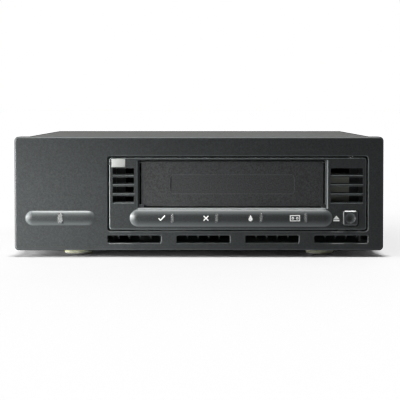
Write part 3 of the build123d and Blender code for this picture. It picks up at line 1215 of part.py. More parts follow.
def socket_outline(inset):
    """The keyed outline of a data socket: a rectangle whose ends lean in, with rounded corners."""
    outline = Trapezoid(SOCKET_SHELL[0] - 2 * inset, SOCKET_SHELL[1] - 2 * inset, SOCKET_LEAN)
    return fillet(outline.vertices(), SOCKET_CORNER)


def data_socket_shell(z):
    """Metal shell of a data socket: a flange behind the panel and a keyed ring standing out through it."""
    flange_y = (PANEL_Y[0] - SHEET, PANEL_Y[0])
    shell = across(Rectangle(*SOCKET_FLANGE), SOCKET_X, z, flange_y)
    ring_y = (flange_y[0], PANEL_Y[1] + SOCKET_PROUD)
    shell += across(socket_outline(0), SOCKET_X, z, ring_y)
    shell -= across(socket_outline(SOCKET_SHELL_WALL), SOCKET_X, z, ring_y)
    for x in about(SOCKET_X, JACK_PITCH):
        shell -= round_bar(JACK_HOLE + SLIDE_FIT, x, z, flange_y)
    return shell


def data_socket_insert(z):
    """Moulded insert of a data socket: its body behind the panel and a slotted tongue inside the shell."""
    back = PANEL_Y[0] - SHEET
    insert = across(Rectangle(*SOCKET_SHELL), SOCKET_X, z, (back - SOCKET_BODY_DEPTH, back))
    tongue_end = PANEL_Y[1] + SOCKET_PROUD - SOCKET_TONGUE_DROP
    insert += across(socket_outline(SOCKET_SHELL_WALL + SOCKET_TONGUE_GAP), SOCKET_X, z, (back, tongue_end))
    return insert - across(Rectangle(*SOCKET_SLOT), SOCKET_X, z, (PANEL_Y[0], tongue_end))


def jack_standoffs():
    """Four hexagonal jack posts, threaded for the cable's screws, two beside each data socket."""
    posts = []
    end = PANEL_Y[1] + JACK_LENGTH
    for x, z in jack_places():
        post = across(RegularPolygon(JACK_ACROSS / 2, 6, major_radius=False), x, z, (PANEL_Y[1], end))
        post += round_bar(JACK_HOLE, x, z, (PANEL_Y[0] - SHEET - JACK_TAIL, PANEL_Y[1]))
        posts.append(post - round_bar(JACK_HOLE, x, z, (PANEL_Y[1] + SHEET, end)))
    return posts


def id_button_places():
    """The z places of the address switch's upper and lower buttons."""
    return (PANEL_MID + ID_BUTTON_SPACING, PANEL_MID - ID_BUTTON_SPACING)


def id_switch_body():
    """Push-wheel address switch: a flanged body with a window for the wheel and a well for each button."""
    body = across(RectangleRounded(*ID_FLANGE, SHEET), ID_X, PANEL_MID, (PANEL_Y[1], ID_FRONT_Y))
    body += across(Rectangle(*ID_BODY), ID_X, PANEL_MID, (PANEL_Y[1] - ID_DEPTH, PANEL_Y[1]))
    body -= across(Rectangle(*ID_WINDOW), ID_X, PANEL_MID, (ID_WHEEL_Y, ID_FRONT_Y))
    wheel_x = about(ID_X, ID_WHEEL_WIDTH + 2 * SEAT_GAP)
    body -= axle(ID_WHEEL_RADIUS + SEAT_GAP, wheel_x, ID_WHEEL_Y, PANEL_MID)
    body -= axle(ROCKER_PIN_RADIUS + RUNNING_FIT, about(ID_X, ID_AXLE), ID_WHEEL_Y, PANEL_MID)
    well = Rectangle(*roomy(ID_BUTTON, ID_BUTTON_GAP))
    for z in id_button_places():
        body -= across(well, ID_X, z, (ID_FRONT_Y - ID_BUTTON_WELL, ID_FRONT_Y))
    return body


def id_wheel():
    """Many-sided number wheel of the address switch, on its own axle."""
    outline = RegularPolygon(ID_WHEEL_RADIUS, ID_WHEEL_SIDES, rotation=180 / ID_WHEEL_SIDES)
    wheel = extrude(Plane.YZ * outline, amount=ID_WHEEL_WIDTH / 2, both=True)
    wheel += axle(ROCKER_PIN_RADIUS, about(0, ID_AXLE - SEAT_GAP), 0, 0)
    return Pos(ID_X, ID_WHEEL_Y, PANEL_MID) * wheel


def id_button(z):
    """Small push button of the address switch."""
    y = (ID_FRONT_Y - ID_BUTTON_WELL + ID_BUTTON_TRAVEL + SEAT_GAP, ID_FRONT_Y + ID_BUTTON_PROUD)
    key = across(Rectangle(*ID_BUTTON), ID_X, z, y)
    return chamfer(key.faces().sort_by(Axis.Y)[-1].edges(), SEAT_GAP)


def data_ribbon():
    """Ribbon cable from the drive's data plug up to the upper data socket, drawn in the side view."""
    low, high = BOARD_Z[1] + DATA_PLUG[2] / 2, SOCKET_Z["upper"]
    start, end = plug_y(DATA_PLUG)[1], PANEL_Y[0] - SHEET - SOCKET_BODY_DEPTH
    rise = about(middle((start, end)), RIBBON_RISE)
    line = FilletPolyline((start, low), (rise[0], low), (rise[1], high), (end, high), radius=RIBBON_BEND)
    ribbon = extrude(Plane.YZ * trace(line, RIBBON_THICKNESS), amount=RIBBON_WIDTH / 2, both=True)
    return Pos(SOCKET_X, 0, 0) * ribbon


def power_harness():
    """Flat power lead from the supply's board round to the drive's power plug, drawn in plan."""
    z = BOARD_Z[1] + POWER_PLUG[2] / 2
    x = PSU_X[0] + HARNESS_INSET
    plug_x, tail_y = middle(power_plug_x()), plug_y(POWER_PLUG)[1]
    loop_y = max(PSU_Y[1], tail_y) + HARNESS_LOOP
    route = ((x, PSU_Y[1]), (x, loop_y), (plug_x, loop_y), (plug_x, tail_y))
    line = FilletPolyline(*route, radius=HARNESS_BENDS)
    lead = Pos(0, 0, z) * extrude(trace(line, HARNESS_WIDTH), amount=HARNESS_THICKNESS / 2, both=True)
    header_x = about(x, HARNESS_WIDTH + 2 * HARNESS_HEADER_WALL)
    return lead + block(header_x, (PSU_Y[1] - HARNESS_WIDTH, PSU_Y[1]), (PSU_TOP, z + HARNESS_THICKNESS))


SINGLE_PIECES = [
    front_bezel, power_light_pipe, power_light_board, rubber_feet, base_tray, top_cover, cover_screws,
    drive_bezel, cartridge_door, eject_button, status_light_pipes, status_board, drive_chassis, drive_lid,
    lid_screws, drive_rail_left, drive_rail_right, rail_screws, cartridge_receiver, reel_motor, drive_hub,
    takeup_motor, takeup_reel, guide_plate, head_carriage, head_frame, head_stepper, lead_screw, load_motor,
    main_board, drive_plugs, psu_board, psu_standoffs, psu_heatsink, psu_transformer, psu_capacitor, rear_panel,
    mains_inlet, mains_pins, switch_housing, power_rocker, fan_frame, fan_rotor, fan_guard, fan_screws,
    jack_standoffs, id_switch_body, id_wheel, data_ribbon, power_harness,
]

pieces = {make.__name__: make() for make in SINGLE_PIECES}
for number, place in enumerate(ROLLER_XY, start=1):
    pieces[f"guide_roller_{number}"] = guide_roller(place)
for level, z in SOCKET_Z.items():
    pieces[f"data_socket_shell_{level}"] = data_socket_shell(z)
    pieces[f"data_socket_insert_{level}"] = data_socket_insert(z)
for level, z in zip(("upper", "lower"), id_button_places()):
    pieces[f"id_button_{level}"] = id_button(z)

os.makedirs("parts", exist_ok=True)
for name, piece in pieces.items():
    export_step(Compound(children=piece) if isinstance(piece, list) else piece, f"parts/{name}.step")
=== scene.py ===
"""A table-top tape drive: materials, small fittings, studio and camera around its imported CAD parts."""

import logging
import math
from collections.abc import Iterable, Sequence
from dataclasses import dataclass, replace
from enum import Enum

import bmesh
import bpy
from bmesh.types import BMesh, BMVert
from bpy.types import ID, Material, Mesh, Node, NodeSocket, NodeTree, Object
from mathutils import Matrix, Vector
from mathutils.bvhtree import BVHTree

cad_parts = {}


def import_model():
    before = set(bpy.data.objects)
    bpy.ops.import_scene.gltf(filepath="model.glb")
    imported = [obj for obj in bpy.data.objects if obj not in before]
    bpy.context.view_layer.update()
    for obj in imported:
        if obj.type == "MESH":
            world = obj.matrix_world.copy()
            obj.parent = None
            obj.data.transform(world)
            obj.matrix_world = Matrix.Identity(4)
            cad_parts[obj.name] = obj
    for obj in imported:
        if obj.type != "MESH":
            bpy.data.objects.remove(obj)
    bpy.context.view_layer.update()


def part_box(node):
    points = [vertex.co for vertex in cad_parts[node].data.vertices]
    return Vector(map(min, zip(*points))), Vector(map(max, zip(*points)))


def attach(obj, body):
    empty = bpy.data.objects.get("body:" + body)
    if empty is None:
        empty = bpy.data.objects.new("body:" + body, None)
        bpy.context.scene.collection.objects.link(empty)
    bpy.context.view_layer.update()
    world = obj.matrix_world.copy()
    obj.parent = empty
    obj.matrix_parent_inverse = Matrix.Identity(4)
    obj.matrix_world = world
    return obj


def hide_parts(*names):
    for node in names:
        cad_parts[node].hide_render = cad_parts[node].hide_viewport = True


Point = tuple[float, float]
Triple = tuple[float, float, float]
Colour = Triple
Stops = Sequence[tuple[float, Colour]]
Value = NodeSocket | float | Triple

MM = 0.001
# Points nearer to each other than this are one point.
WELD = 0.001 * MM
# How thick printed ink is.
FILM = 0.04 * MM
# Edges bent more than this stay sharp.
SHARP = math.radians(35.0)
# The whole range of a factor, and the range in which most of a noise lies.
FULL: Point = (0.0, 1.0)
COMMON: Point = (0.3, 0.7)
ROOT = "root"
# The shader's sockets that aren't simply named as a finish names them.
NAMED_SOCKETS = {
    "ior": "IOR",
    "specular": "Specular IOR Level",
    "transmission": "Transmission Weight",
    "coat": "Coat Weight",
    "subsurface": "Subsurface Weight",
}

log = logging.getLogger("tape_drive")


class Look(Enum):
    """The way a screw's head looks, as the number of its axis."""

    SIDEWAYS = 0
    REAR = 1
    UP = 2


def toned(colour: Colour, by: float) -> Colour:
    """A colour made lighter or darker by one factor."""
    return tuple(min(1.0, channel * by) for channel in colour)


class Nodes:
    """A node tree that is filled by short calls."""

    def __init__(self, tree: NodeTree) -> None:
        """Empties a tree.

        Args:
            tree: The tree of a material or world.
        """
        self.tree = tree
        self.tree.nodes.clear()

    def put(self, target: NodeSocket, value: Value) -> None:
        """Gives an input socket its value.

        Args:
            target: The input socket.
            value: A plain value, or the output socket that drives it.
        """
        if isinstance(value, NodeSocket):
            self.tree.links.new(value, target)
        else:
            target.default_value = (*value, 1.0) if target.type == "RGBA" else value

    def add(self, kind: str, **inputs: Value) -> Node:
        """Adds a node.

        Args:
            kind: Its type in Blender, without the leading ShaderNode.
            inputs: What its input sockets get, with _ for a space in their names.

        Returns:
            The node.
        """
        node = self.tree.nodes.new(f"ShaderNode{kind}")
        for name, value in inputs.items():
            self.put(node.inputs[name.replace("_", " ")], value)
        return node

    def axis(self, vector: NodeSocket, name: str) -> NodeSocket:
        """One part of a vector, by the name of its axis."""
        return self.add("SeparateXYZ", Vector=vector).outputs[name]

    def spread(self, source: NodeSocket, ends: Point, onto: Point = FULL) -> NodeSocket:
        """Moves a number from one range onto another.

        Args:
            source: The number.
            ends: The range it has.
            onto: The range it gets, which it doesn't leave.

        Returns:
            The moved number.
        """
        (low, high), (first, last) = ends, onto
        node = self.add("MapRange", Value=source, From_Min=low, From_Max=high, To_Min=first, To_Max=last)
        return node.outputs["Result"]

    def math(self, operation: str, *numbers: NodeSocket | float) -> NodeSocket:
        """Does one step of arithmetic.

        Args:
            operation: The step's name in Blender.
            numbers: The one or two numbers that it takes.

        Returns:
            The result.
        """
        node = self.add("Math")
        node.operation = operation
        for socket, number in zip(node.inputs, numbers):
            self.put(socket, number)
        return node.outputs[0]


class NodeSheet(Nodes):
    """One material's nodes, ahead of a principled shader."""

    def __init__(self, name: str) -> None:
        """Starts a material.

        Args:
            name: The material's name.
        """
        self.material = bpy.data.materials.new(name)
        self.material.use_nodes = True
        super().__init__(self.material.node_tree)
        self.shader = self.add("BsdfPrincipled")
        self.add("OutputMaterial", Surface=self.shader.outputs["BSDF"])
        coordinates = self.add("TexCoord").outputs
        self.place, self.normal = coordinates["Object"], coordinates["Normal"]

    def shade(self, colour: Value, rough: Value, normal: NodeSocket | None = None, **more: Value) -> None:
        """Sets or drives the shader's sockets.

        Args:
            colour: The base colour.
            rough: The roughness.
            normal: The bent normal, where there is one.
            more: What other sockets get, by their names in lower case with _ for a space.
        """
        inputs = {"base_color": colour, "roughness": rough, **more}
        if normal is not None:
            inputs["normal"] = normal
        for key, value in inputs.items():
            self.put(self.shader.inputs[NAMED_SOCKETS.get(key, key.replace("_", " ").title())], value)

    def stretched(self, scale: Triple, turn: float = 0.0) -> NodeSocket:
        """Object coordinates with each axis scaled, and turned about X.

        Args:
            scale: The scale along X, Y and Z.
            turn: Degrees about X.

        Returns:
            The scaled coordinates.
        """
        node = self.add("Mapping", Vector=self.place, Scale=scale, Rotation=(math.radians(turn), 0.0, 0.0))
        return node.outputs["Vector"]

    def noise(self, size: float, detail: float = 3.0, where: NodeSocket | None = None) -> NodeSocket:
        """Soft noise.

        Args:
            size: How wide one blotch is, in metres.
            detail: Octaves of finer noise.
            where: Coordinates, if not the object's own.

        Returns:
            The noise, from 0 to 1.
        """
        node = self.add("TexNoise", Vector=where or self.place, Scale=1 / size, Detail=detail, Roughness=0.55)
        return node.outputs["Fac"]

    def cells(self, size: float, feature: str = "F1", where: NodeSocket | None = None) -> Node:
        """A cell pattern.

        Args:
            size: How wide one cell is, in metres.
            feature: F1, or SMOOTH_F1 for rounded cells.
            where: Coordinates, if not the object's own.

        Returns:
            The cell texture's node.
        """
        node = self.add("TexVoronoi", Vector=where or self.place, Scale=1 / size)
        node.feature = feature
        return node

    def ramp(self, source: NodeSocket, stops: Stops) -> NodeSocket:
        """Colours a number.

        Args:
            source: The number, from 0 to 1.
            stops: Places from 0 to 1, with their colours.

        Returns:
            The colour.
        """
        node = self.add("ValToRGB", Fac=source)
        elements = node.color_ramp.elements
        while len(elements) < len(stops):
            elements.new(0.5)
        for element, (place, colour) in zip(elements, stops):
            element.position, element.color = place, (*colour, 1.0)
        return node.outputs["Color"]

    def tones(self, source: NodeSocket, colour: Colour, *stops: Point) -> NodeSocket:
        """Colours a number with tones of one colour.

        Args:
            source: The number, from 0 to 1.
            colour: The colour.
            stops: Places from 0 to 1, with the factor on the colour there.

        Returns:
            The toned colour.
        """
        return self.ramp(source, [(place, toned(colour, by)) for place, by in stops])

    def weighed(self, more: NodeSocket, less: NodeSocket) -> NodeSocket:
        """Six parts of one number and four of another, added up."""
        return self.math("ADD", self.math("MULTIPLY", more, 0.6), self.math("MULTIPLY", less, 0.4))

    def mix(self, factor: NodeSocket, low: NodeSocket | Colour, high: NodeSocket | Colour) -> NodeSocket:
        """Mixes two colours.

        Args:
            factor: 0 for the first colour, 1 for the second.
            low: The first colour.
            high: The second colour.

        Returns:
            The mixed colour.
        """
        node = self.add("Mix", Factor=factor)
        node.data_type = "RGBA"
        for name, value in (("A", low), ("B", high)):
            self.put(next(s for s in node.inputs if s.name == name and s.type == "RGBA"), value)
        return next(s for s in node.outputs if s.type == "RGBA")

    def bump(self, height: NodeSocket, depth: float, onto: NodeSocket | None = None) -> NodeSocket:
        """A bump of a real depth.

        Args:
            height: The relief, from 0 to 1.
            depth: How far 0 lies below 1, in metres.
            onto: A bump that this one is laid on.

        Returns:
            The bent normal.
        """
        node = self.add("Bump", Height=height, Strength=1.0, Distance=depth)
        if onto is not None:
            self.put(node.inputs["Normal"], onto)
        return node.outputs["Normal"]

    def edge(self, radius: float) -> NodeSocket:
        """How near a sharp edge is, for rubbed and bare edges, and for painted highlights and painted shade
        along edges.

        Args:
            radius: How far from the edge the wear reaches, in metres.

        Returns:
            0 on flat surface, up to 1 on an edge.
        """
        bevel, dot = self.add("Bevel", Radius=radius), self.add("VectorMath")
        bevel.samples, dot.operation = 4, "DOT_PRODUCT"
        self.put(dot.inputs[0], bevel.outputs["Normal"])
        self.put(dot.inputs[1], self.add("NewGeometry").outputs["True Normal"])
        return self.spread(dot.outputs["Value"], (0.995, 0.8))

    def rounding(self, face: float) -> tuple[NodeSocket, NodeSocket]:
        """Where a moulded front's surface slopes away from the front, which the finishes paint lighter as
        highlights.

        Args:
            face: The Y of its flat face.

        Returns:
            Up to 1 on slopes that stand out from the face, as on raised bars, and up to
            1 on rounded rims that lie behind it.
        """
        facing, across = self.math("ABSOLUTE", self.axis(self.normal, "Y")), self.axis(self.place, "Y")
        turned = self.math("MULTIPLY", self.spread(facing, (0.99, 0.8)), self.spread(facing, (0.05, 0.3)))
        proud = self.math("LESS_THAN", across, face + 0.02 * MM)
        near = self.spread(across, (face + 0.9 * MM, face + 0.5 * MM))
        behind = self.math("MULTIPLY", near, self.spread(proud, (1.0, 0.0)))
        return self.math("MULTIPLY", turned, proud), self.math("MULTIPLY", turned, behind)


@dataclass(frozen=True)
class Finish:
    """What every finish has: its material's name, the record's slot it stands for, and its colour."""

    name: str
    slot: str
    colour: Colour

    def material(self) -> Material:
        """Makes the finish's material at its first use.

        Returns:
            The material.
        """
        found = bpy.data.materials.get(self.name)
        if found is not None:
            return found
        sheet = NodeSheet(self.name)
        self.paint(sheet)
        return sheet.material

    def paint(self, sheet: NodeSheet) -> None:
        """Adds the finish's nodes to its material."""
        raise NotImplementedError


@dataclass(frozen=True)
class GrainedMoulding(Finish):
    """Moulded plastic with a spark-eroded grain, faint flow marks and edges rubbed smooth; its edges, raised
    slopes and the rounded rim behind its face are painted lighter as highlights.
    """

    grain: float = 0.45 * MM
    depth: float = 0.02 * MM
    speckle: float = 0.16
    rough: float = 0.5
    specular: float = 0.5
    # Near sharp edges the colour is lighter: rubbed edges, and a painted highlight along them.
    wear: Point = (0.25, 0.6)
    worn_reach: float = 0.35 * MM
    worn_tone: float = 4.0
    worn_smooth: float = 0.08
    # Raised slopes and the rounded rim behind the face are painted lighter: painted highlights. The raised
    # slopes are also smoother and glossier.
    rubbed: float = 0.0
    polish: float = 1.0
    rim_tone: float = 3.0
    face: float = -153.4 * MM

    def paint(self, sheet: NodeSheet) -> None:
        """Adds the grain, the mottling, edges that are rubbed and carry a painted highlight, and raised
        slopes that are smoother and carry a painted highlight, as does the rounded rim behind a front's face.

        Args:
            sheet: Its material's nodes.
        """
        flow = sheet.noise(45 * MM, 2.0, sheet.stretched((1.0, 1.0, 2.2)))
        tone = sheet.tones(flow, self.colour, (0.3, 0.92), (0.7, 1.08))
        pits = sheet.noise(self.grain, 2.0)
        fine = sheet.tones(pits, self.colour, (0.3, 1 - self.speckle), (0.7, 1 + self.speckle))
        even = sheet.noise(self.grain * 9, 1.0)
        colour = sheet.mix(sheet.spread(even, (0.2, 0.8), (0.55, 0.7)), tone, fine)
        # Lighter colour near sharp edges: rubbed edges, and a painted highlight along them.
        edge_wear_and_highlight = sheet.math("MULTIPLY", sheet.edge(self.worn_reach), sheet.spread(even, COMMON, self.wear))
        # Raised slopes and the rounded rim behind the face get a lighter colour: painted highlights.
        raised, rims = (sheet.math("MULTIPLY", slope, self.rubbed) for slope in sheet.rounding(self.face))
        shine = sheet.math("MAXIMUM", edge_wear_and_highlight, raised)
        colour = sheet.mix(shine, colour, toned(self.colour, self.worn_tone))
        colour = sheet.mix(rims, colour, toned(self.colour, self.rim_tone))
        rough = sheet.spread(pits, (0.25, 0.75), (self.rough + 0.05, self.rough - 0.05))
        rough = sheet.math("SUBTRACT", rough, sheet.math("MULTIPLY", shine, self.worn_smooth))
        relief = sheet.weighed(sheet.cells(self.grain, "SMOOTH_F1").outputs["Distance"], pits)
        specular = sheet.spread(raised, FULL, (self.specular, self.polish))
        sheet.shade(colour, rough, sheet.bump(relief, self.depth), specular=specular)


@dataclass(frozen=True)
class SmoothMoulding(Finish):
    """Smooth glossy plastic with faint sink marks and hairline scuffs."""

    rough: float = 0.28

    def paint(self, sheet: NodeSheet) -> None:
        """Adds the faint clouds, scuffs and sink marks.

        Args:
            sheet: Its material's nodes.
        """
        cloud = sheet.noise(9 * MM)
        tone = sheet.tones(cloud, self.colour, (0.3, 0.9), (0.7, 1.06))
        colour = sheet.mix(sheet.edge(0.25 * MM), tone, toned(self.colour, 1.15))
        scuff = sheet.noise(0.5 * MM, 2.0, sheet.stretched((0.12, 1.0, 1.0), 35.0))
        rough = sheet.spread(scuff, (0.3, 0.8), (self.rough, self.rough + 0.16))
        sheet.shade(colour, rough, sheet.bump(cloud, 0.03 * MM, sheet.bump(scuff, 0.003 * MM)))


@dataclass(frozen=True)
class TexturedPaint(Finish):
    """Baked paint with a fine hammered texture over steel, thin at the bends."""

    bare: Colour = (0.42, 0.41, 0.39)
    rough: float = 0.46
    specular: float = 0.45

    def paint(self, sheet: NodeSheet) -> None:
        """Adds the paint's peel, its speckle and the bare edges.

        Args:
            sheet: Its material's nodes.
        """
        peel = sheet.cells(0.9 * MM, "SMOOTH_F1").outputs["Distance"]
        fine = sheet.noise(0.35 * MM, 2.0)
        tone = sheet.tones(sheet.noise(60 * MM), self.colour, (0.3, 0.93), (0.7, 1.07))
        colour = sheet.mix(sheet.spread(fine, (0.62, 0.75), (0.0, 0.5)), tone, toned(self.colour, 1.5))
        patchy = sheet.spread(sheet.noise(3 * MM, 4.0), (0.5, 0.72), (0.0, 0.8))
        bare = sheet.math("MULTIPLY", sheet.edge(0.3 * MM), patchy)
        rough = sheet.spread(fine, COMMON, (self.rough - 0.06, self.rough + 0.08))
        normal = sheet.bump(peel, 0.03 * MM, sheet.bump(fine, 0.012 * MM))
        colour = sheet.mix(bare, colour, self.bare)
        sheet.shade(colour, rough, normal, metallic=bare, specular=self.specular)


@dataclass(frozen=True)
class PlatedSteel(Finish):
    """Zinc-plated sheet: rolling lines, a faint bloom and bright cut edges."""

    rough: float = 0.34

    def paint(self, sheet: NodeSheet) -> None:
        """Adds the rolled lines, the bloom and the cut edges.

        Args:
            sheet: Its material's nodes.
        """
        bloom = sheet.noise(18 * MM, 4.0)
        rolled = sheet.noise(0.35 * MM, 3.0, sheet.stretched((1.0, 0.02, 1.0)))
        red, green, blue = self.colour
        warm = (red * 1.04, green, blue * 0.88)
        tone = sheet.ramp(bloom, ((0.25, toned(self.colour, 0.72)), (0.5, self.colour), (0.78, warm)))
        lined = sheet.mix(sheet.spread(rolled, (0.3, 0.8), (0.0, 0.22)), tone, toned(self.colour, 0.6))
        colour = sheet.mix(sheet.edge(0.2 * MM), lined, toned(self.colour, 1.35))
        rough = sheet.spread(sheet.weighed(bloom, rolled), COMMON, (self.rough - 0.06, self.rough + 0.14))
        normal = sheet.bump(rolled, 0.004 * MM, sheet.bump(bloom, 0.05 * MM))
        sheet.shade(colour, rough, normal, metallic=1.0)


@dataclass(frozen=True)
class TurnedMetal(Finish):
    """Small turned or drawn metal parts, plated or blackened."""

    rough: float = 0.26

    def paint(self, sheet: NodeSheet) -> None:
        """Adds the tool marks, stains and rubbed edges.

        Args:
            sheet: Its material's nodes.
        """
        marks = sheet.noise(0.12 * MM, 2.0, sheet.stretched((1.0, 0.25, 1.0)))
        stain = sheet.noise(1.6 * MM, 4.0)
        tone = sheet.tones(stain, self.colour, (0.3, 0.7), (0.65, 1.1))
        rubbed = tuple(0.45 * channel + 0.3 for channel in self.colour)
        colour = sheet.mix(sheet.edge(0.15 * MM), tone, rubbed)
        rough = sheet.spread(stain, COMMON, (self.rough, self.rough + 0.16))
        sheet.shade(colour, rough, sheet.bump(marks, 0.004 * MM), metallic=1.0)


@dataclass(frozen=True)
class CastMetal(Finish):
    """Die-cast alloy: sandy skin, flow lines and rubbed edges."""

    rough: float = 0.45

    def paint(self, sheet: NodeSheet) -> None:
        """Adds the sandy skin, the flow lines and the rubbed edges.

        Args:
            sheet: Its material's nodes.
        """
        sand = sheet.noise(0.5 * MM, 4.0)
        flow = sheet.noise(14 * MM, 5.0, sheet.stretched((1.0, 0.5, 1.0)))
        tone = sheet.tones(flow, self.colour, (0.3, 0.75), (0.7, 1.1))
        colour = sheet.mix(sheet.edge(0.3 * MM), tone, toned(self.colour, 1.4))
        rough = sheet.spread(sand, COMMON, (self.rough - 0.1, self.rough + 0.12))
        sheet.shade(colour, rough, sheet.bump(sand, 0.05 * MM), metallic=1.0)


@dataclass(frozen=True)
class PrintedBoard(Finish):
    """Glass-fibre board under a green mask, with tracks, vias and a faint weave."""

    track: Colour = (0.045, 0.17, 0.07)
    pad: Colour = (0.6, 0.5, 0.28)

    def paint(self, sheet: NodeSheet) -> None:
        """Adds the tracks, the plated vias and the weave.

        Args:
            sheet: Its material's nodes.
        """
        lanes = sheet.cells(5.5 * MM, where=sheet.stretched((1.0, 0.45, 1.0)))
        lanes.distance = "CHEBYCHEV"
        rings = sheet.math("MULTIPLY", lanes.outputs["Distance"], 34.0)
        stripes = sheet.spread(sheet.math("SINE", rings), (0.0, 0.35))
        vias = sheet.spread(sheet.cells(4.2 * MM).outputs["Distance"], (0.13, 0.1))
        colour = sheet.mix(vias, sheet.mix(stripes, self.colour, self.track), self.pad)
        weave = sheet.noise(0.6 * MM, 1.0, sheet.stretched((1.0, 4.0, 1.0)))
        normal = sheet.bump(stripes, 0.035 * MM, sheet.bump(weave, 0.01 * MM))
        rough = sheet.spread(weave, COMMON, (0.3, 0.42))
        sheet.shade(colour, rough, normal, metallic=sheet.math("MULTIPLY", vias, 0.9), coat=0.3)


@dataclass(frozen=True)
class ClearMoulding(Finish):
    """Clear light pipe with a smoky tint, a painted shade darkening its rim, and a slightly eroded nose."""

    # The colour of the painted shade at the pipe's rim.
    shade: Colour = (0.006, 0.006, 0.006)
    rim: float = 1.1 * MM

    def paint(self, sheet: NodeSheet) -> None:
        """Adds the tint's faint streaks, the painted shade at its rim in its hole and the eroded surface.

        Args:
            sheet: Its material's nodes.
        """
        streak = sheet.noise(1.4 * MM, 2.0)
        tone = sheet.tones(streak, self.colour, (0.3, 0.88), (0.7, 1.0))
        # Near its edges the pipe is painted nearly black: painted shade where it sits in its hole.
        colour = sheet.mix(sheet.edge(self.rim), tone, self.shade)
        normal = sheet.bump(sheet.noise(0.2 * MM, 1.0), 0.004 * MM)
        sheet.shade(colour, sheet.spread(streak, COMMON, (0.06, 0.16)), normal, transmission=0.72, ior=1.49)


@dataclass(frozen=True)
class PaleRubber(Finish):
    """Soft translucent rubber with dust in its skin."""

    dust: Colour = (0.62, 0.6, 0.52)
    scatter: Triple = (6.0 * MM, 6.0 * MM, 4.0 * MM)

    def paint(self, sheet: NodeSheet) -> None:
        """Adds the cloudy body, the dust and the soft skin.

        Args:
            sheet: Its material's nodes.
        """
        cloud = sheet.noise(2.5 * MM)
        tone = sheet.tones(cloud, self.colour, (0.3, 0.85), (0.7, 1.1))
        dusty = sheet.spread(sheet.noise(0.3 * MM, 2.0), (0.6, 0.72), (0.0, 0.45))
        rough = sheet.spread(cloud, COMMON, (0.42, 0.6))
        soft = {"subsurface": 0.8, "subsurface_radius": self.scatter, "subsurface_scale": 1.0}
        sheet.shade(sheet.mix(dusty, tone, self.dust), rough, sheet.bump(cloud, 0.05 * MM), **soft)


@dataclass(frozen=True)
class WoundTape(Finish):
    """Insulating tape round a winding, with overlapped edges every few millimetres."""

    lap: float = 4.0 * MM

    def paint(self, sheet: NodeSheet) -> None:
        """Adds the laps' edges, their shine and wrinkles.

        Args:
            sheet: Its material's nodes.
        """
        scale = math.pi / (10 * self.lap)
        wave = sheet.add("TexWave", Vector=sheet.place, Scale=scale, Distortion=0.4)
        wave.wave_profile, wave.bands_direction = "SAW", "Z"
        laps = wave.outputs["Fac"]
        tone = sheet.tones(laps, self.colour, (0.0, 0.7), (0.15, 1.0), (1.0, 1.12))
        wrinkle = sheet.noise(1.8 * MM, 3.0, sheet.stretched((1.0, 1.0, 0.3)))
        creased = sheet.spread(wrinkle, (0.4, 0.8), (0.0, 0.3))
        colour = sheet.mix(creased, tone, toned(self.colour, 0.6))
        rough = sheet.spread(wrinkle, COMMON, (0.2, 0.34))
        sheet.shade(colour, rough, sheet.bump(laps, 0.08 * MM, sheet.bump(wrinkle, 0.03 * MM)))


@dataclass(frozen=True)
class FlatCable(Finish):
    """Flat ribbon cable: round wires side by side across X, the first one marked."""

    pitch: float = 1.27 * MM
    left: float = 0.0
    mark: Colour = (0.45, 0.03, 0.025)

    def paint(self, sheet: NodeSheet) -> None:
        """Adds the wires' ribs, the webs between them and the marked wire.

        Args:
            sheet: Its material's nodes.
        """
        across = sheet.axis(sheet.place, "X")
        turns = sheet.math("MULTIPLY", across, math.pi / self.pitch)
        rib = sheet.math("ABSOLUTE", sheet.math("SINE", turns))
        tone = sheet.tones(rib, self.colour, (0.0, 0.5), (0.35, 1.0), (1.0, 1.08))
        inside = sheet.math("GREATER_THAN", across, self.left)
        below = sheet.math("LESS_THAN", across, self.left + self.pitch)
        stripe = sheet.math("MULTIPLY", sheet.math("MULTIPLY", inside, below), 0.85)
        rough = sheet.spread(sheet.noise(4 * MM), COMMON, (0.36, 0.52))
        sheet.shade(sheet.mix(stripe, tone, self.mark), rough, sheet.bump(rib, 0.25 * MM))


@dataclass(frozen=True)
class ScreenInk(Finish):
    """Printed ink: almost even, and a little open over the grain below."""

    under: Colour = (0.08, 0.085, 0.088)

    def paint(self, sheet: NodeSheet) -> None:
        """Adds the open spots and the print's faint texture.

        Args:
            sheet: Its material's nodes.
        """
        spots = sheet.spread(sheet.noise(0.3 * MM, 2.0), (0.6, 0.78), (0.0, 0.5))
        colour = sheet.mix(spots, self.colour, self.under)
        rough = sheet.spread(sheet.noise(0.6 * MM), COMMON, (0.42, 0.58))
        sheet.shade(colour, rough, sheet.bump(sheet.noise(0.25 * MM), 0.01 * MM), specular=0.4)


@dataclass(frozen=True)
class SatinLabel(Finish):
    """A bare satin label of pale foil, faintly brushed, a little soiled at its rim."""

    def paint(self, sheet: NodeSheet) -> None:
        """Adds the brushed lines, the clouds and the soiled rim.

        Args:
            sheet: Its material's nodes.
        """
        lines = sheet.noise(0.18 * MM, 2.0, sheet.stretched((0.05, 1.0, 1.0)))
        tone = sheet.tones(sheet.noise(2.6 * MM), self.colour, (0.3, 0.94), (0.7, 1.04))
        brushed = sheet.mix(sheet.spread(lines, (0.3, 0.8), (0.0, 0.3)), tone, toned(self.colour, 0.8))
        colour = sheet.mix(sheet.edge(0.2 * MM), brushed, toned(self.colour, 0.7))
        sheet.shade(colour, sheet.spread(lines, COMMON, (0.34, 0.48)), sheet.bump(lines, 0.003 * MM))


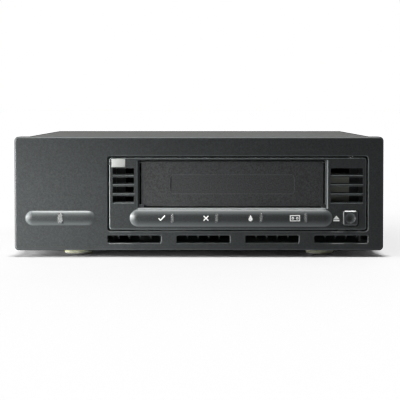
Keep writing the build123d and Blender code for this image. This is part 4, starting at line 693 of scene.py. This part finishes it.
# These mouldings' edges, raised bars and rims carry painted highlights, strongest on the drive's front and
# door.
CHARCOAL = GrainedMoulding(
    "Charcoal_moulding",
    "charcoal_moulding",
    (0.0275, 0.0305, 0.0303),
    grain=0.75 * MM,
    depth=0.05 * MM,
    speckle=0.5,
    rough=0.46,
    specular=0.3,
    rubbed=0.85,
    polish=0.5,
)
# The drive's moulding gets a much lighter rim: a strong painted highlight on the rim round its openings.
DRIVE_CHARCOAL = replace(CHARCOAL, name="Charcoal_drive_moulding", wear=(0.5, 0.9), polish=1.0, rim_tone=9.0)
# The door's edges carry a stronger painted highlight, which lightens the panel's outline.
DOOR_CHARCOAL = GrainedMoulding(
    "Charcoal_door_moulding",
    "charcoal_moulding",
    (0.0345, 0.0355, 0.0358),
    grain=0.7 * MM,
    depth=0.1 * MM,
    speckle=0.8,
    specular=0.4,
    wear=(0.7, 1.0),
    rubbed=0.7,
)
BLACK = GrainedMoulding(
    "Black_moulding", "black_moulding", (0.022, 0.022, 0.023), grain=0.4 * MM, depth=0.015 * MM, rough=0.42
)
BLACK_SMOOTH = SmoothMoulding("Black_smooth_moulding", "black_moulding", (0.02, 0.02, 0.021))
REEL_WHITE = SmoothMoulding("White_reel_moulding", "reel_white", (0.72, 0.72, 0.68))
COVER = TexturedPaint("Cover_paint", "cover_paint", (0.07, 0.073, 0.069), rough=0.62, specular=0.25)
# A black coat on the cast body, and the receiver's sheet made black too: both also stand for the shade behind
# the louvres and round the door, painted shade.
BLACK_CASTING_AND_SHADE = TexturedPaint(
    "Black_casting_and_painted_shade", "black_casting", (0.022, 0.0225, 0.024), bare=(0.3, 0.3, 0.3), rough=0.55
)
BLACK_SHEET_AND_SHADE = replace(
    BLACK_CASTING_AND_SHADE, name="Black_sheet_and_painted_shade", slot="black_sheet", colour=(0.03, 0.03, 0.0315), rough=0.5
)
ZINC = PlatedSteel("Zinc_plate", "zinc_plate", (0.56, 0.57, 0.57))
BRIGHT = TurnedMetal("Bright_screw", "bright_screw", (0.72, 0.72, 0.7))
DARK = TurnedMetal("Dark_screw", "dark_screw", (0.08, 0.08, 0.085), rough=0.34)
CONTACTS = TurnedMetal("Plated_contact", "pin_metal", (0.78, 0.62, 0.34), rough=0.2)
PINS = TurnedMetal("Pin_metal", "pin_metal", (0.72, 0.68, 0.58), rough=0.24)
CAST = CastMetal("Cast_metal", "cast_metal", (0.52, 0.52, 0.52))
SINK = CastMetal("Heatsink_metal", "heatsink_metal", (0.6, 0.6, 0.6), rough=0.36)
MOTOR = TexturedPaint("Motor_case", "motor_case", (0.13, 0.135, 0.12), rough=0.42)
# A much lighter copy of the motor's paint for the load motor, which sits in shade behind the louvres: painted
# light.
MOTOR_PAINTED_LIGHT = replace(MOTOR, name="Motor_case_painted_light", colour=(0.42, 0.43, 0.35))
BOARD = PrintedBoard("Board_green", "board_green", (0.02, 0.085, 0.04))
LENS = ClearMoulding("Clear_lens", "clear_lens", (0.62, 0.64, 0.63))
RUBBER = PaleRubber("Pale_rubber", "pale_rubber", (0.86, 0.87, 0.62))
TAPE = WoundTape("Winding_tape", "winding_tape", (0.6, 0.47, 0.08))
INK = ScreenInk("White_print", "reel_white", (0.86, 0.86, 0.84))
LABEL = SatinLabel("Bare_label", "reel_white", (0.39, 0.398, 0.382))


def dress(nodes: Iterable[str], finish: Finish) -> None:
    """Gives CAD nodes their material.

    Args:
        nodes: The nodes' names.
        finish: The finish they get.
    """
    for name in nodes:
        slots = bpy.data.objects[name].data.materials
        slots.clear()
        slots.append(finish.material())
        log.info("dressed %s in %s", name, finish.name)


def add_object(name: str, data: ID) -> Object:
    """Adds an object to the scene.

    Args:
        name: Its name.
        data: Its mesh, text, lamp or camera.

    Returns:
        The object.
    """
    made = bpy.data.objects.new(name, data)
    bpy.context.scene.collection.objects.link(made)
    return made


def mesh_of(shape: BMesh, name: str = "part") -> Mesh:
    """Turns a shape into a mesh.

    Args:
        shape: The shape, which is used up.
        name: The mesh's name.

    Returns:
        The mesh.
    """
    mesh = bpy.data.meshes.new(name)
    shape.to_mesh(mesh)
    shape.free()
    return mesh


def add_piece(name: str, shape: BMesh, finish: Finish, body: str = ROOT) -> Object:
    """Makes a finished shape into a piece that rides on a body.

    Args:
        name: The piece's name.
        shape: Its shape, in place, which is used up.
        finish: Its finish.
        body: The CAD body it rides on.

    Returns:
        The piece.
    """
    bmesh.ops.recalc_face_normals(shape, faces=shape.faces)
    mesh = mesh_of(shape, name)
    mesh.shade_smooth()
    mesh.set_sharp_from_angle(angle=SHARP)
    mesh.materials.append(finish.material())
    piece = add_object(name, mesh)
    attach(piece, body)
    log.info("made %s, %d faces, on %s", name, len(mesh.polygons), body)
    return piece


def box_of(points: Sequence[Vector]) -> tuple[Vector, Vector]:
    """The lowest and the highest corner of the box round some points."""
    return tuple(Vector(end(point[i] for point in points) for i in range(3)) for end in (min, max))


def solids_of(node: str) -> list[tuple[Vector, Vector]]:
    """The box of each separate solid of a CAD node.

    Args:
        node: The node's name.

    Returns:
        A lowest and highest corner for each solid, sorted by place.
    """
    shape = bmesh.new()
    shape.from_mesh(bpy.data.objects[node].data)
    bmesh.ops.remove_doubles(shape, verts=shape.verts, dist=WELD)
    left, boxes = set(shape.verts), []
    while left:
        waiting, points = [left.pop()], []
        while waiting:
            vertex = waiting.pop()
            points.append(vertex.co.copy())
            near = {edge.other_vert(vertex) for edge in vertex.link_edges} & left
            left -= near
            waiting.extend(near)
        boxes.append(box_of(points))
    shape.free()
    return sorted(boxes, key=lambda box: tuple(round(c, 5) for c in box[0]))


def noses_of(node: str, depth: float = 0.1 * MM, gap: float = 5.0 * MM) -> list[Vector]:
    """The middles of what stands out at the front of a CAD node, from left to right.

    Args:
        node: The node's name.
        depth: How far behind its foremost point a point may lie.
        gap: The least distance along X between two of them.

    Returns:
        One point for each.
    """
    points = [vertex.co.copy() for vertex in bpy.data.objects[node].data.vertices]
    front = min(point.y for point in points) + depth
    groups: list[list[Vector]] = []
    for point in sorted((point for point in points if point.y < front), key=lambda point: point.x):
        if not groups or point.x - groups[-1][-1].x > gap:
            groups.append([])
        groups[-1].append(point)
    return [(low + high) / 2 for low, high in map(box_of, groups)]


def skin_of(node: str) -> BVHTree:
    """A search tree over the faces of a CAD node.

    Args:
        node: The node's name.

    Returns:
        The tree.
    """
    mesh = bpy.data.objects[node].data
    faces = [tuple(face.vertices) for face in mesh.polygons]
    return BVHTree.FromPolygons([vertex.co for vertex in mesh.vertices], faces)


def joined(shapes: Iterable[BMesh]) -> BMesh:
    """Puts several shapes side by side into one.

    Args:
        shapes: The shapes, which are used up.

    Returns:
        The whole.
    """
    whole = bmesh.new()
    for shape in shapes:
        mesh = mesh_of(shape)
        whole.from_mesh(mesh)
        bpy.data.meshes.remove(mesh)
    return whole


def baked(source: Object) -> BMesh:
    """The shape that an object has with its modifiers, or that a text has.

    Args:
        source: The object, which is kept.

    Returns:
        The shape.
    """
    bpy.context.view_layer.update()
    mesh = bpy.data.meshes.new_from_object(source.evaluated_get(bpy.context.evaluated_depsgraph_get()))
    shape = bmesh.new()
    shape.from_mesh(mesh)
    bpy.data.meshes.remove(mesh)
    return shape


def brick(size: Triple, centre: Vector, round_off: float = 0.0) -> BMesh:
    """A box with rounded edges.

    Args:
        size: Its size along X, Y and Z.
        centre: Its centre.
        round_off: The radius of its edges.

    Returns:
        The box.
    """
    shape = bmesh.new()
    bmesh.ops.create_cube(shape, size=1.0)
    bmesh.ops.scale(shape, vec=size, verts=shape.verts)
    if round_off:
        bmesh.ops.bevel(
            shape, geom=shape.edges, offset=round_off, affect="EDGES", segments=2, profile=0.5, material=-1
        )
    bmesh.ops.translate(shape, vec=centre, verts=shape.verts)
    return shape


def flat_face(outline: Sequence[Point], cuts: int = 0) -> BMesh:
    """A flat face in the X-Z plane, cut into small triangles.

    Args:
        outline: Its corners in order, as (x, z).
        cuts: How often each edge of its triangles is halved.

    Returns:
        The face.
    """
    shape = bmesh.new()
    shape.faces.new([shape.verts.new((x, 0.0, z)) for x, z in outline])
    bmesh.ops.triangulate(shape, faces=shape.faces)
    for _ in range(cuts):
        bmesh.ops.subdivide_edges(shape, edges=shape.edges, cuts=1, use_grid_fill=True)
    return shape


def stroke(start: Point, end: Point, width: float) -> list[Point]:
    """The outline of a straight stroke.

    Args:
        start: The middle of one end.
        end: The middle of the other end.
        width: Its width.

    Returns:
        Its four corners in order.
    """
    way = Vector(end) - Vector(start)
    side = Vector((-way.y, way.x)).normalized() * width / 2
    return [tuple(Vector(p) + s) for p, s in ((start, side), (start, -side), (end, -side), (end, side))]


def ring(outer: float, inner: float, middle: float = 0.0, steps: int = 24) -> BMesh:
    """A flat ring in the X-Z plane.

    Args:
        outer: Its outer radius.
        inner: Its inner radius.
        middle: The X of its middle.
        steps: How many straight pieces it has.

    Returns:
        The ring.
    """
    shape = bmesh.new()
    for radius in (outer, inner):
        bmesh.ops.create_circle(shape, radius=radius, segments=steps)
    bmesh.ops.bridge_loops(shape, edges=shape.edges)
    bmesh.ops.rotate(shape, matrix=Matrix.Rotation(math.pi / 2, 3, "X"), verts=shape.verts)
    bmesh.ops.translate(shape, vec=(middle, 0.0, 0.0), verts=shape.verts)
    return shape


def printed(shape: BMesh, centre: Vector, onto: BVHTree, look: float) -> BMesh:
    """Lays a flat mark on a surface as a film of ink.

    Args:
        shape: The mark, in the X-Z plane about the origin.
        centre: Where its middle goes.
        onto: The surface.
        look: -1 to lay it on a front that looks along -Y, 1 on a back.

    Returns:
        The film, a closed shape.
    """
    bmesh.ops.translate(shape, vec=centre, verts=shape.verts)
    away = Vector((0.0, look, 0.0))
    for vertex in shape.verts:
        hit = onto.ray_cast(vertex.co + away, -away)[0]
        vertex.co = hit + away * FILM / 4
    raised = bmesh.ops.extrude_face_region(shape, geom=list(shape.faces), use_keep_orig=True)["geom"]
    bmesh.ops.translate(shape, vec=away * FILM, verts=[part for part in raised if isinstance(part, BMVert)])
    return shape


def carved(shape: BMesh, cutters: Iterable[BMesh]) -> BMesh:
    """Cuts shapes out of another one.

    Args:
        shape: What is cut, which is used up.
        cutters: What is taken away, which is used up too.

    Returns:
        The cut shape.
    """
    blank, *tools = (add_object("part", mesh_of(part)) for part in (shape, *cutters))
    for tool in tools:
        cut = blank.modifiers.new("cut", "BOOLEAN")
        cut.operation, cut.solver, cut.object = "DIFFERENCE", "EXACT", tool
    result = baked(blank)
    for piece in (blank, *tools):
        # This removes the object too.
        bpy.data.meshes.remove(piece.data)
    return result


@dataclass(frozen=True)
class PanScrew:
    """A pan-head screw with a cross recess and rolled thread, its head's top on +Z."""

    length: float
    head_radius: float = 2.9 * MM
    head: float = 1.6 * MM
    shank_radius: float = 1.5 * MM
    root_radius: float = 1.22 * MM
    pitch: float = 0.5 * MM
    recess: Triple = (3.3 * MM, 0.62 * MM, 1.1 * MM)
    recess_foot: Triple = (0.45, 0.6, 1.0)
    rim: float = 0.45
    steps: int = 32

    def profile(self) -> list[Point]:
        """Draws the half outline from the head's crown down to the tip.

        Returns:
            Its points, each a radius and a height.
        """
        crown = [
            (self.head_radius * math.sin(angle), self.head * (self.rim + (1 - self.rim) * math.cos(angle)))
            for angle in (math.radians(step) for step in (0, 22, 42, 60, 76, 90))
        ]
        line = [*crown, (self.head_radius, 0.0), (self.root_radius, 0.0)]
        for turn in range(int(self.length / self.pitch) - 1):
            top = -self.pitch * (turn + 0.5)
            line += [(self.shank_radius, top), (self.root_radius, top - self.pitch / 2)]
        return [*line, (self.root_radius * 0.7, -self.length), (0.0, -self.length)]

    def shape(self) -> BMesh:
        """Spins the outline and cuts the cross recess.

        Returns:
            The screw, its head's seat at the origin.
        """
        screw = bmesh.new()
        points = [screw.verts.new((radius, 0.0, height)) for radius, height in self.profile()]
        edges = [screw.edges.new(pair) for pair in zip(points, points[1:])]
        bmesh.ops.spin(
            screw, geom=points + edges, cent=(0, 0, 0), axis=(0, 0, 1), angle=2 * math.pi, steps=self.steps,
            use_merge=True,
        )
        bmesh.ops.remove_doubles(screw, verts=screw.verts, dist=WELD)
        bmesh.ops.recalc_face_normals(screw, faces=screw.faces)
        long, wide, deep = self.recess
        cross = []
        for turn in (0.0, math.pi / 2):
            blade = brick((long, wide, 2 * deep), Vector())
            bmesh.ops.scale(blade, vec=self.recess_foot, verts=[v for v in blade.verts if v.co.z < 0])
            bmesh.ops.rotate(blade, matrix=Matrix.Rotation(turn, 3, "Z"), verts=blade.verts)
            bmesh.ops.translate(blade, vec=(0, 0, self.head), verts=blade.verts)
            cross.append(blade)
        return carved(screw, cross)

    def placed(self, box: tuple[Vector, Vector], look: Look, middle: float) -> BMesh:
        """The screw where a CAD screw is.

        Args:
            box: The CAD screw's box.
            look: The way its head looks.
            middle: The X that sideways screws look away from.

        Returns:
            The screw in place.
        """
        low, high = box
        seat, axis = (low + high) / 2, look.value
        side = -1 if look is Look.SIDEWAYS and seat.x <= middle else 1
        # Each recess stands at an angle of its own, as screws do.
        twist = Matrix.Rotation(math.radians(17 + 61 * (round(seat.y / MM) % 5)), 3, "Z")
        seat[axis] = (high if side > 0 else low)[axis] - side * self.head
        turn = {
            Look.SIDEWAYS: Matrix.Rotation(side * math.pi / 2, 3, "Y"),
            Look.REAR: Matrix.Rotation(-math.pi / 2, 3, "X"),
            Look.UP: Matrix.Identity(3),
        }[look]
        shape = self.shape()
        bmesh.ops.rotate(shape, matrix=turn @ twist, verts=shape.verts)
        bmesh.ops.translate(shape, vec=seat, verts=shape.verts)
        return shape


def set_screws(name: str, node: str, look: Look, finish: Finish, middle: float = 0.0) -> None:
    """Replaces a node's plain screws by threaded ones with a cross recess.

    Args:
        name: The piece's name.
        node: The CAD node.
        look: The way the heads look.
        finish: The screws' finish.
        middle: The X that sideways screws look away from.
    """
    boxes = solids_of(node)
    low, high = boxes[0]
    screw = PanScrew(high[look.value] - low[look.value] - PanScrew.head)
    piece = add_piece(name, joined(screw.placed(box, look, middle) for box in boxes), finish)
    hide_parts(node)


@dataclass
class EnclosureFront:
    """Front moulding of the enclosure, with the power light behind its bar."""

    def build(self) -> None:
        """Dresses the moulding, its light pipe and the lamp's board."""
        dress(["front_bezel"], CHARCOAL)
        dress(["power_light_pipe"], LENS)
        dress(["power_light_board"], BOARD)


@dataclass
class DriveFront:
    """Front of the drive itself: moulding, door, eject key, lights, and what is printed there."""

    badge_corner: Point = (-50.2 * MM, 56.5 * MM)
    badge_size: Triple = (7.9 * MM, 0.3 * MM, 4.7 * MM)
    badge_edge: float = 0.12 * MM
    eject_place: Point = (78.9 * MM, 22.3 * MM)
    eject_size: Point = (3.5 * MM, 3.2 * MM)
    eject_bar: float = 0.27
    eject_shoulder: float = 0.38
    mark_offset: float = -6.2 * MM
    mark_line: float = 0.62 * MM

    def build(self) -> None:
        """Dresses the drive's front and adds the badge and the printed marks."""
        dress(["drive_bezel", "eject_button"], DRIVE_CHARCOAL)
        dress(["cartridge_door"], DOOR_CHARCOAL)
        dress(["status_light_pipes"], LENS)
        dress(["status_board"], BOARD)
        # The load motor gets the lighter copy of the motor's paint: painted light.
        dress(["load_motor"], MOTOR_PAINTED_LIGHT)
        skin = skin_of("drive_bezel")
        self.add_badge(skin)
        self.add_eject_mark(skin)
        self.add_status_marks(skin)

    def add_badge(self, skin: BVHTree) -> None:
        """Adds the bare label at the top left of the drive's face.

        Args:
            skin: The drive's front.
        """
        wide, thick, high = self.badge_size
        left, top = self.badge_corner
        centre = Vector((left + wide / 2, 0.0, top - high / 2))
        ahead = Vector((0.0, 1.0, 0.0))
        centre.y = skin.ray_cast(centre - ahead, ahead)[0].y - thick / 2
        add_piece("badge_plate", brick(self.badge_size, centre, self.badge_edge), LABEL)

    def add_eject_mark(self, skin: BVHTree) -> None:
        """Prints a triangle over a bar beside the eject key.

        Args:
            skin: The drive's front.
        """
        wide, high = self.eject_size
        half, base, bar = wide / 2, -high / 2, self.eject_bar * high
        shoulder = base + self.eject_shoulder * high
        head = flat_face([(-half, shoulder), (half, shoulder), (0.0, -base)])
        foot = flat_face(stroke((-half, base + bar / 2), (half, base + bar / 2), bar))
        centre = Vector((self.eject_place[0], 0.0, self.eject_place[1]))
        add_piece("eject_mark", printed(joined([head, foot]), centre, skin, -1.0), INK)

    def status_marks(self) -> dict[str, BMesh]:
        """Draws four plain signs, one for each status light: tick, cross, drop and cartridge.

        Returns:
            The signs, each with its light's name.
        """
        line, thin = self.mark_line, self.mark_line * 0.8
        tick = [
            stroke((-1.7 * MM, 0.0), (-0.5 * MM, -1.3 * MM), line),
            stroke((-0.65 * MM, -1.25 * MM), (1.9 * MM, 1.5 * MM), line),
        ]
        arm = 1.35 * MM
        cross = [stroke((-arm, -arm), (arm, arm), line), stroke((-arm, arm), (arm, -arm), line)]
        bulb, sunk, tip = 1.15 * MM, 0.55 * MM, 1.8 * MM
        turns = [math.radians(angle) for angle in range(25, -206, -21)]
        drop = [(0.0, tip), *((bulb * math.cos(turn), bulb * math.sin(turn) - sunk) for turn in turns)]
        wide, high = 2.9 * MM, 1.5 * MM
        inner = wide - thin / 2
        case = [stroke((-wide, z), (wide, z), thin) for z in (high, -high)]
        case += [stroke((x, -high), (x, high), thin) for x in (-inner, inner)]
        reel, rim, hole = 1.25 * MM, 0.75 * MM, 0.3 * MM
        reels = [ring(rim, hole, x, 16) for x in (-reel, reel)]
        return {
            "ready": joined(flat_face(part, 2) for part in tick),
            "fault": joined(flat_face(part, 2) for part in cross),
            "clean": flat_face(drop, 1),
            "media": joined([*(flat_face(part, 2) for part in case), *reels]),
        }

    def add_status_marks(self, skin: BVHTree) -> None:
        """Prints a plain sign to the left of each status light.

        Args:
            skin: The drive's front.
        """
        for (name, mark), lens in zip(self.status_marks().items(), noses_of("status_light_pipes")):
            centre = Vector((lens.x + self.mark_offset, 0.0, lens.z))
            add_piece(f"{name}_mark", printed(mark, centre, skin, -1.0), INK)


@dataclass
class Case:
    """Sheet-metal case: tray, cover, rear panel, feet and the screws that hold them."""

    def build(self) -> None:
        """Dresses the case and puts real screws in its sides."""
        dress(["base_tray", "rear_panel"], ZINC)
        dress(["top_cover"], COVER)
        dress(["rubber_feet"], RUBBER)
        set_screws("side_screws", "cover_screws", Look.SIDEWAYS, DARK)


@dataclass
class TapeMechanism:
    """The drive's cast body and all that moves or guides the tape in it."""

    def build(self) -> None:
        """Dresses the mechanism and puts real screws in the lid and rails."""
        # The cast body and the receiver are black: a black coat, and painted shade for the dark behind the
        # front.
        dress(["drive_chassis"], BLACK_CASTING_AND_SHADE)
        dress(["cartridge_receiver"], BLACK_SHEET_AND_SHADE)
        dress(["drive_hub", "head_carriage"], CAST)
        dress([f"guide_roller_{number}" for number in range(1, 5)], BRIGHT)
        dress(["drive_lid", "drive_rail_left", "drive_rail_right", "guide_plate"], ZINC)
        dress(["reel_motor", "takeup_motor", "head_stepper"], MOTOR)
        dress(["head_frame", "lead_screw"], BRIGHT)
        dress(["takeup_reel"], REEL_WHITE)
        dress(["main_board"], BOARD)
        dress(["drive_plugs"], BLACK)
        low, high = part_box("drive_chassis")
        set_screws("lid_cross_screws", "lid_screws", Look.UP, BRIGHT)
        set_screws("rail_cross_screws", "rail_screws", Look.SIDEWAYS, BRIGHT, (low.x + high.x) / 2)


@dataclass
class PowerSupply:
    """The power supply's board and parts in the left bay."""

    def build(self) -> None:
        """Dresses the power supply."""
        dress(["psu_board"], BOARD)
        dress(["psu_standoffs"], CAST)
        dress(["psu_heatsink"], SINK)
        dress(["psu_transformer"], TAPE)
        dress(["psu_capacitor"], BLACK_SMOOTH)


@dataclass
class RearFittings:
    """What the rear panel carries: inlet, switch, fan, data sockets and address switch."""

    contact_pitch: float = 1.27 * MM
    contact_count: int = 32
    contact_size: Triple = (0.55 * MM, 5.0 * MM, 0.3 * MM)
    contact_edge: float = 0.08 * MM
    contact_set: float = 0.9 * MM
    slot_half: float = 1.1 * MM
    rocker_mark: float = 3.2 * MM
    rocker_bar: float = 0.6 * MM
    rocker_ring: float = 0.55 * MM
    rocker_reach: float = 4.4 * MM
    digit_size: float = 2.8 * MM
    digit_count: int = 10

    def build(self) -> None:
        """Dresses the fittings and adds their contacts, marks and screws."""
        dress(["mains_inlet", "switch_housing", "fan_frame", "fan_rotor", "id_switch_body"], BLACK)
        dress(["power_rocker", "id_button_upper", "id_button_lower"], BLACK_SMOOTH)
        dress(["id_wheel"], REEL_WHITE)
        dress(["mains_pins"], PINS)
        dress(["fan_guard"], ZINC)
        dress(["jack_standoffs"], BRIGHT)
        set_screws("fan_cross_screws", "fan_screws", Look.REAR, BRIGHT)
        for level in ("upper", "lower"):
            dress([f"data_socket_shell_{level}"], BRIGHT)
            dress([f"data_socket_insert_{level}"], BLACK_SMOOTH)
            self.add_contacts(level)
        self.add_rocker_marks()
        self.add_digits()

    def add_contacts(self, level: str) -> None:
        """Adds two rows of contacts inside a data socket's slot.

        Args:
            level: upper or lower.
        """
        low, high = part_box(f"data_socket_insert_{level}")
        centre = (low + high) / 2
        _, long, thick = self.contact_size
        y = high.y - self.contact_set - long / 2
        first = centre.x - self.contact_pitch * (self.contact_count - 1) / 2
        places = [
            Vector((first + self.contact_pitch * i, y, centre.z + side))
            for i in range(self.contact_count)
            for side in (self.slot_half - thick / 2, thick / 2 - self.slot_half)
        ]
        rows = (brick(self.contact_size, place, self.contact_edge) for place in places)
        add_piece(f"socket_contacts_{level}", joined(rows), CONTACTS)

    def add_rocker_marks(self) -> None:
        """Prints a bar and a ring on the power rocker's two halves."""
        low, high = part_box("power_rocker")
        centre = (low + high) / 2
        skin = skin_of("power_rocker")
        half = self.rocker_mark / 2
        bar = flat_face(stroke((0.0, -half), (0.0, half), self.rocker_bar), 2)
        circle = ring(half, half - self.rocker_ring)
        for name, mark, z in (("on", bar, -self.rocker_reach), ("off", circle, self.rocker_reach)):
            place = Vector((centre.x, 0.0, centre.z + z))
            add_piece(f"{name}_mark", printed(mark, place, skin, 1.0), INK, "power_rocker")

    def add_digits(self) -> None:
        """Prints the digits from 0 up round the address switch's number wheel."""
        low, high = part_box("id_wheel")
        centre, radius = (low + high) / 2, (high.z - low.z) / 2
        facet = math.tau / self.digit_count
        lift = Matrix.Translation((0.0, 0.0, radius * math.cos(facet / 2) + FILM / 2))
        stand = Matrix.Rotation(math.pi, 4, "Z") @ Matrix.Rotation(math.pi / 2, 4, "X")
        digits = []
        for number in range(self.digit_count):
            text = bpy.data.curves.new("digit", "FONT")
            text.body, text.size, text.extrude = str(number), self.digit_size, FILM / 2
            text.align_x, text.align_y = "CENTER", "CENTER"
            shape = baked(add_object("digit", text))
            # This removes the object too.
            bpy.data.curves.remove(text)
            bmesh.ops.remove_doubles(shape, verts=shape.verts, dist=WELD)
            place = Matrix.Translation(centre) @ Matrix.Rotation(facet * (number + 0.5), 4, "X")
            bmesh.ops.transform(shape, matrix=place @ stand @ lift, verts=shape.verts)
            digits.append(shape)
        add_piece("wheel_digits", joined(digits), BLACK_SMOOTH, "id_wheel")


@dataclass
class Wiring:
    """The ribbon cable and the power lead inside the case."""

    wire: float = 1.27 * MM

    def build(self) -> None:
        """Dresses the cables, the ribbon's first wire marked at its left edge."""
        low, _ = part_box("data_ribbon")
        ribbon = FlatCable("Grey_ribbon", "ribbon_grey", (0.5, 0.51, 0.53), pitch=self.wire, left=low.x)
        dress(["data_ribbon"], ribbon)
        dress(["power_harness"], BLACK)


@dataclass(frozen=True)
class Lamp:
    """A square soft lamp: where it stands and looks, its width, its watts, and its cone in degrees."""

    name: str
    place: Triple
    aim: Triple
    size: float
    power: float
    spread: float = 180.0

    def build(self) -> None:
        """Adds the lamp to the scene."""
        light = bpy.data.lights.new(self.name, "AREA")
        light.shape, light.size, light.energy = "SQUARE", self.size, self.power
        light.spread = math.radians(self.spread)
        lamp = add_object(self.name, light)
        lamp.location = self.place
        lamp.rotation_euler = (Vector(self.aim) - Vector(self.place)).to_track_quat("-Z", "Y").to_euler()


@dataclass
class Studio:
    """Pale floor, soft studio light and the camera."""

    eye: Triple = (1.75 * MM, -1313.4 * MM, 86.5 * MM)
    pitch_down: float = 2.646
    yaw_left: float = 0.057
    lens: float = 182.1
    sensor: float = 36.0
    reach: Point = (0.01, 100.0)
    floor_radius: float = 30.0
    floor_dark: Colour = (0.33, 0.335, 0.35)
    floor_light: Colour = (0.37, 0.375, 0.39)
    front_level: float = 0.012
    overhead_level: float = 0.3
    lamps: tuple[Lamp, ...] = (
        Lamp("key_light", (-0.27, -0.31, 0.05), (-0.11, -0.153, 0.0), size=0.14, power=0.25, spread=50.0),
        Lamp("side_light", (-0.9, -0.27, 0.12), (0.0, -0.15, 0.03), size=0.4, power=8.0),
        Lamp("top_light", (0.0, -0.26, 3.0), (0.0, -0.1, 0.0), size=0.3, power=105.0),
    )

    def build(self) -> None:
        """Makes the floor, the surroundings, the lamps and the camera."""
        self.add_floor()
        self.add_surroundings()
        for lamp in self.lamps:
            lamp.build()
        self.add_camera()
        bpy.context.scene.view_settings.view_transform = "Standard"

    def add_floor(self) -> None:
        """Adds the floor, which shows only the shadow that falls on it."""
        shape = bmesh.new()
        bmesh.ops.create_grid(shape, x_segments=8, y_segments=8, size=self.floor_radius)
        sheet = NodeSheet("Studio_floor")
        tone = sheet.ramp(sheet.noise(2.0, 2.0), ((0.3, self.floor_dark), (0.7, self.floor_light)))
        sheet.shade(tone, 0.85, specular=0.2)
        floor = add_object("studio_floor", mesh_of(shape, "studio_floor"))
        floor.data.materials.append(sheet.material)
        floor.is_shadow_catcher = True

    def add_surroundings(self) -> None:
        """Adds a room that is white behind and below the object, pale above it, and dim in front of it."""
        world = bpy.data.worlds.new("Studio_room")
        bpy.context.scene.world = world
        world.use_nodes = True
        room = Nodes(world.node_tree)
        way = room.add("TexCoord").outputs["Generated"]
        depth, height = room.axis(way, "Y"), room.axis(way, "Z")
        dim_to_white = (self.front_level, 1.0)
        behind = room.spread(depth, (-0.1, 0.25), dim_to_white)
        upright = room.spread(height, (0.45, 0.25), dim_to_white)
        below = room.spread(height, (0.0, -0.01), dim_to_white)
        above = room.spread(height, (0.4, 0.8), (self.front_level, self.overhead_level))
        level = room.math("MAXIMUM", room.math("MINIMUM", behind, upright), below)
        light = room.add("Background", Color=(1.0, 1.0, 1.0), Strength=room.math("MAXIMUM", level, above))
        room.add("OutputWorld", Surface=light.outputs["Background"])

    def add_camera(self) -> None:
        """Adds the camera at the photograph's viewing angle."""
        camera = bpy.data.cameras.new("camera")
        camera.lens, camera.sensor_width = self.lens, self.sensor
        camera.clip_start, camera.clip_end = self.reach
        holder = add_object("camera", camera)
        holder.location = self.eye
        holder.rotation_euler = (math.radians(90.0 - self.pitch_down), 0.0, math.radians(self.yaw_left))
        bpy.context.scene.camera = holder


def main() -> None:
    """Loads the CAD frame, builds every sub-assembly around it, then the studio."""
    logging.basicConfig(level=logging.INFO, format="%(name)s: %(message)s")
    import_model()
    for kind in (EnclosureFront, DriveFront, Case, TapeMechanism, PowerSupply, RearFittings, Wiring):
        kind().build()
        log.info("finished %s", kind.__name__)
    Studio().build()


if __name__ == "__main__":
    main()
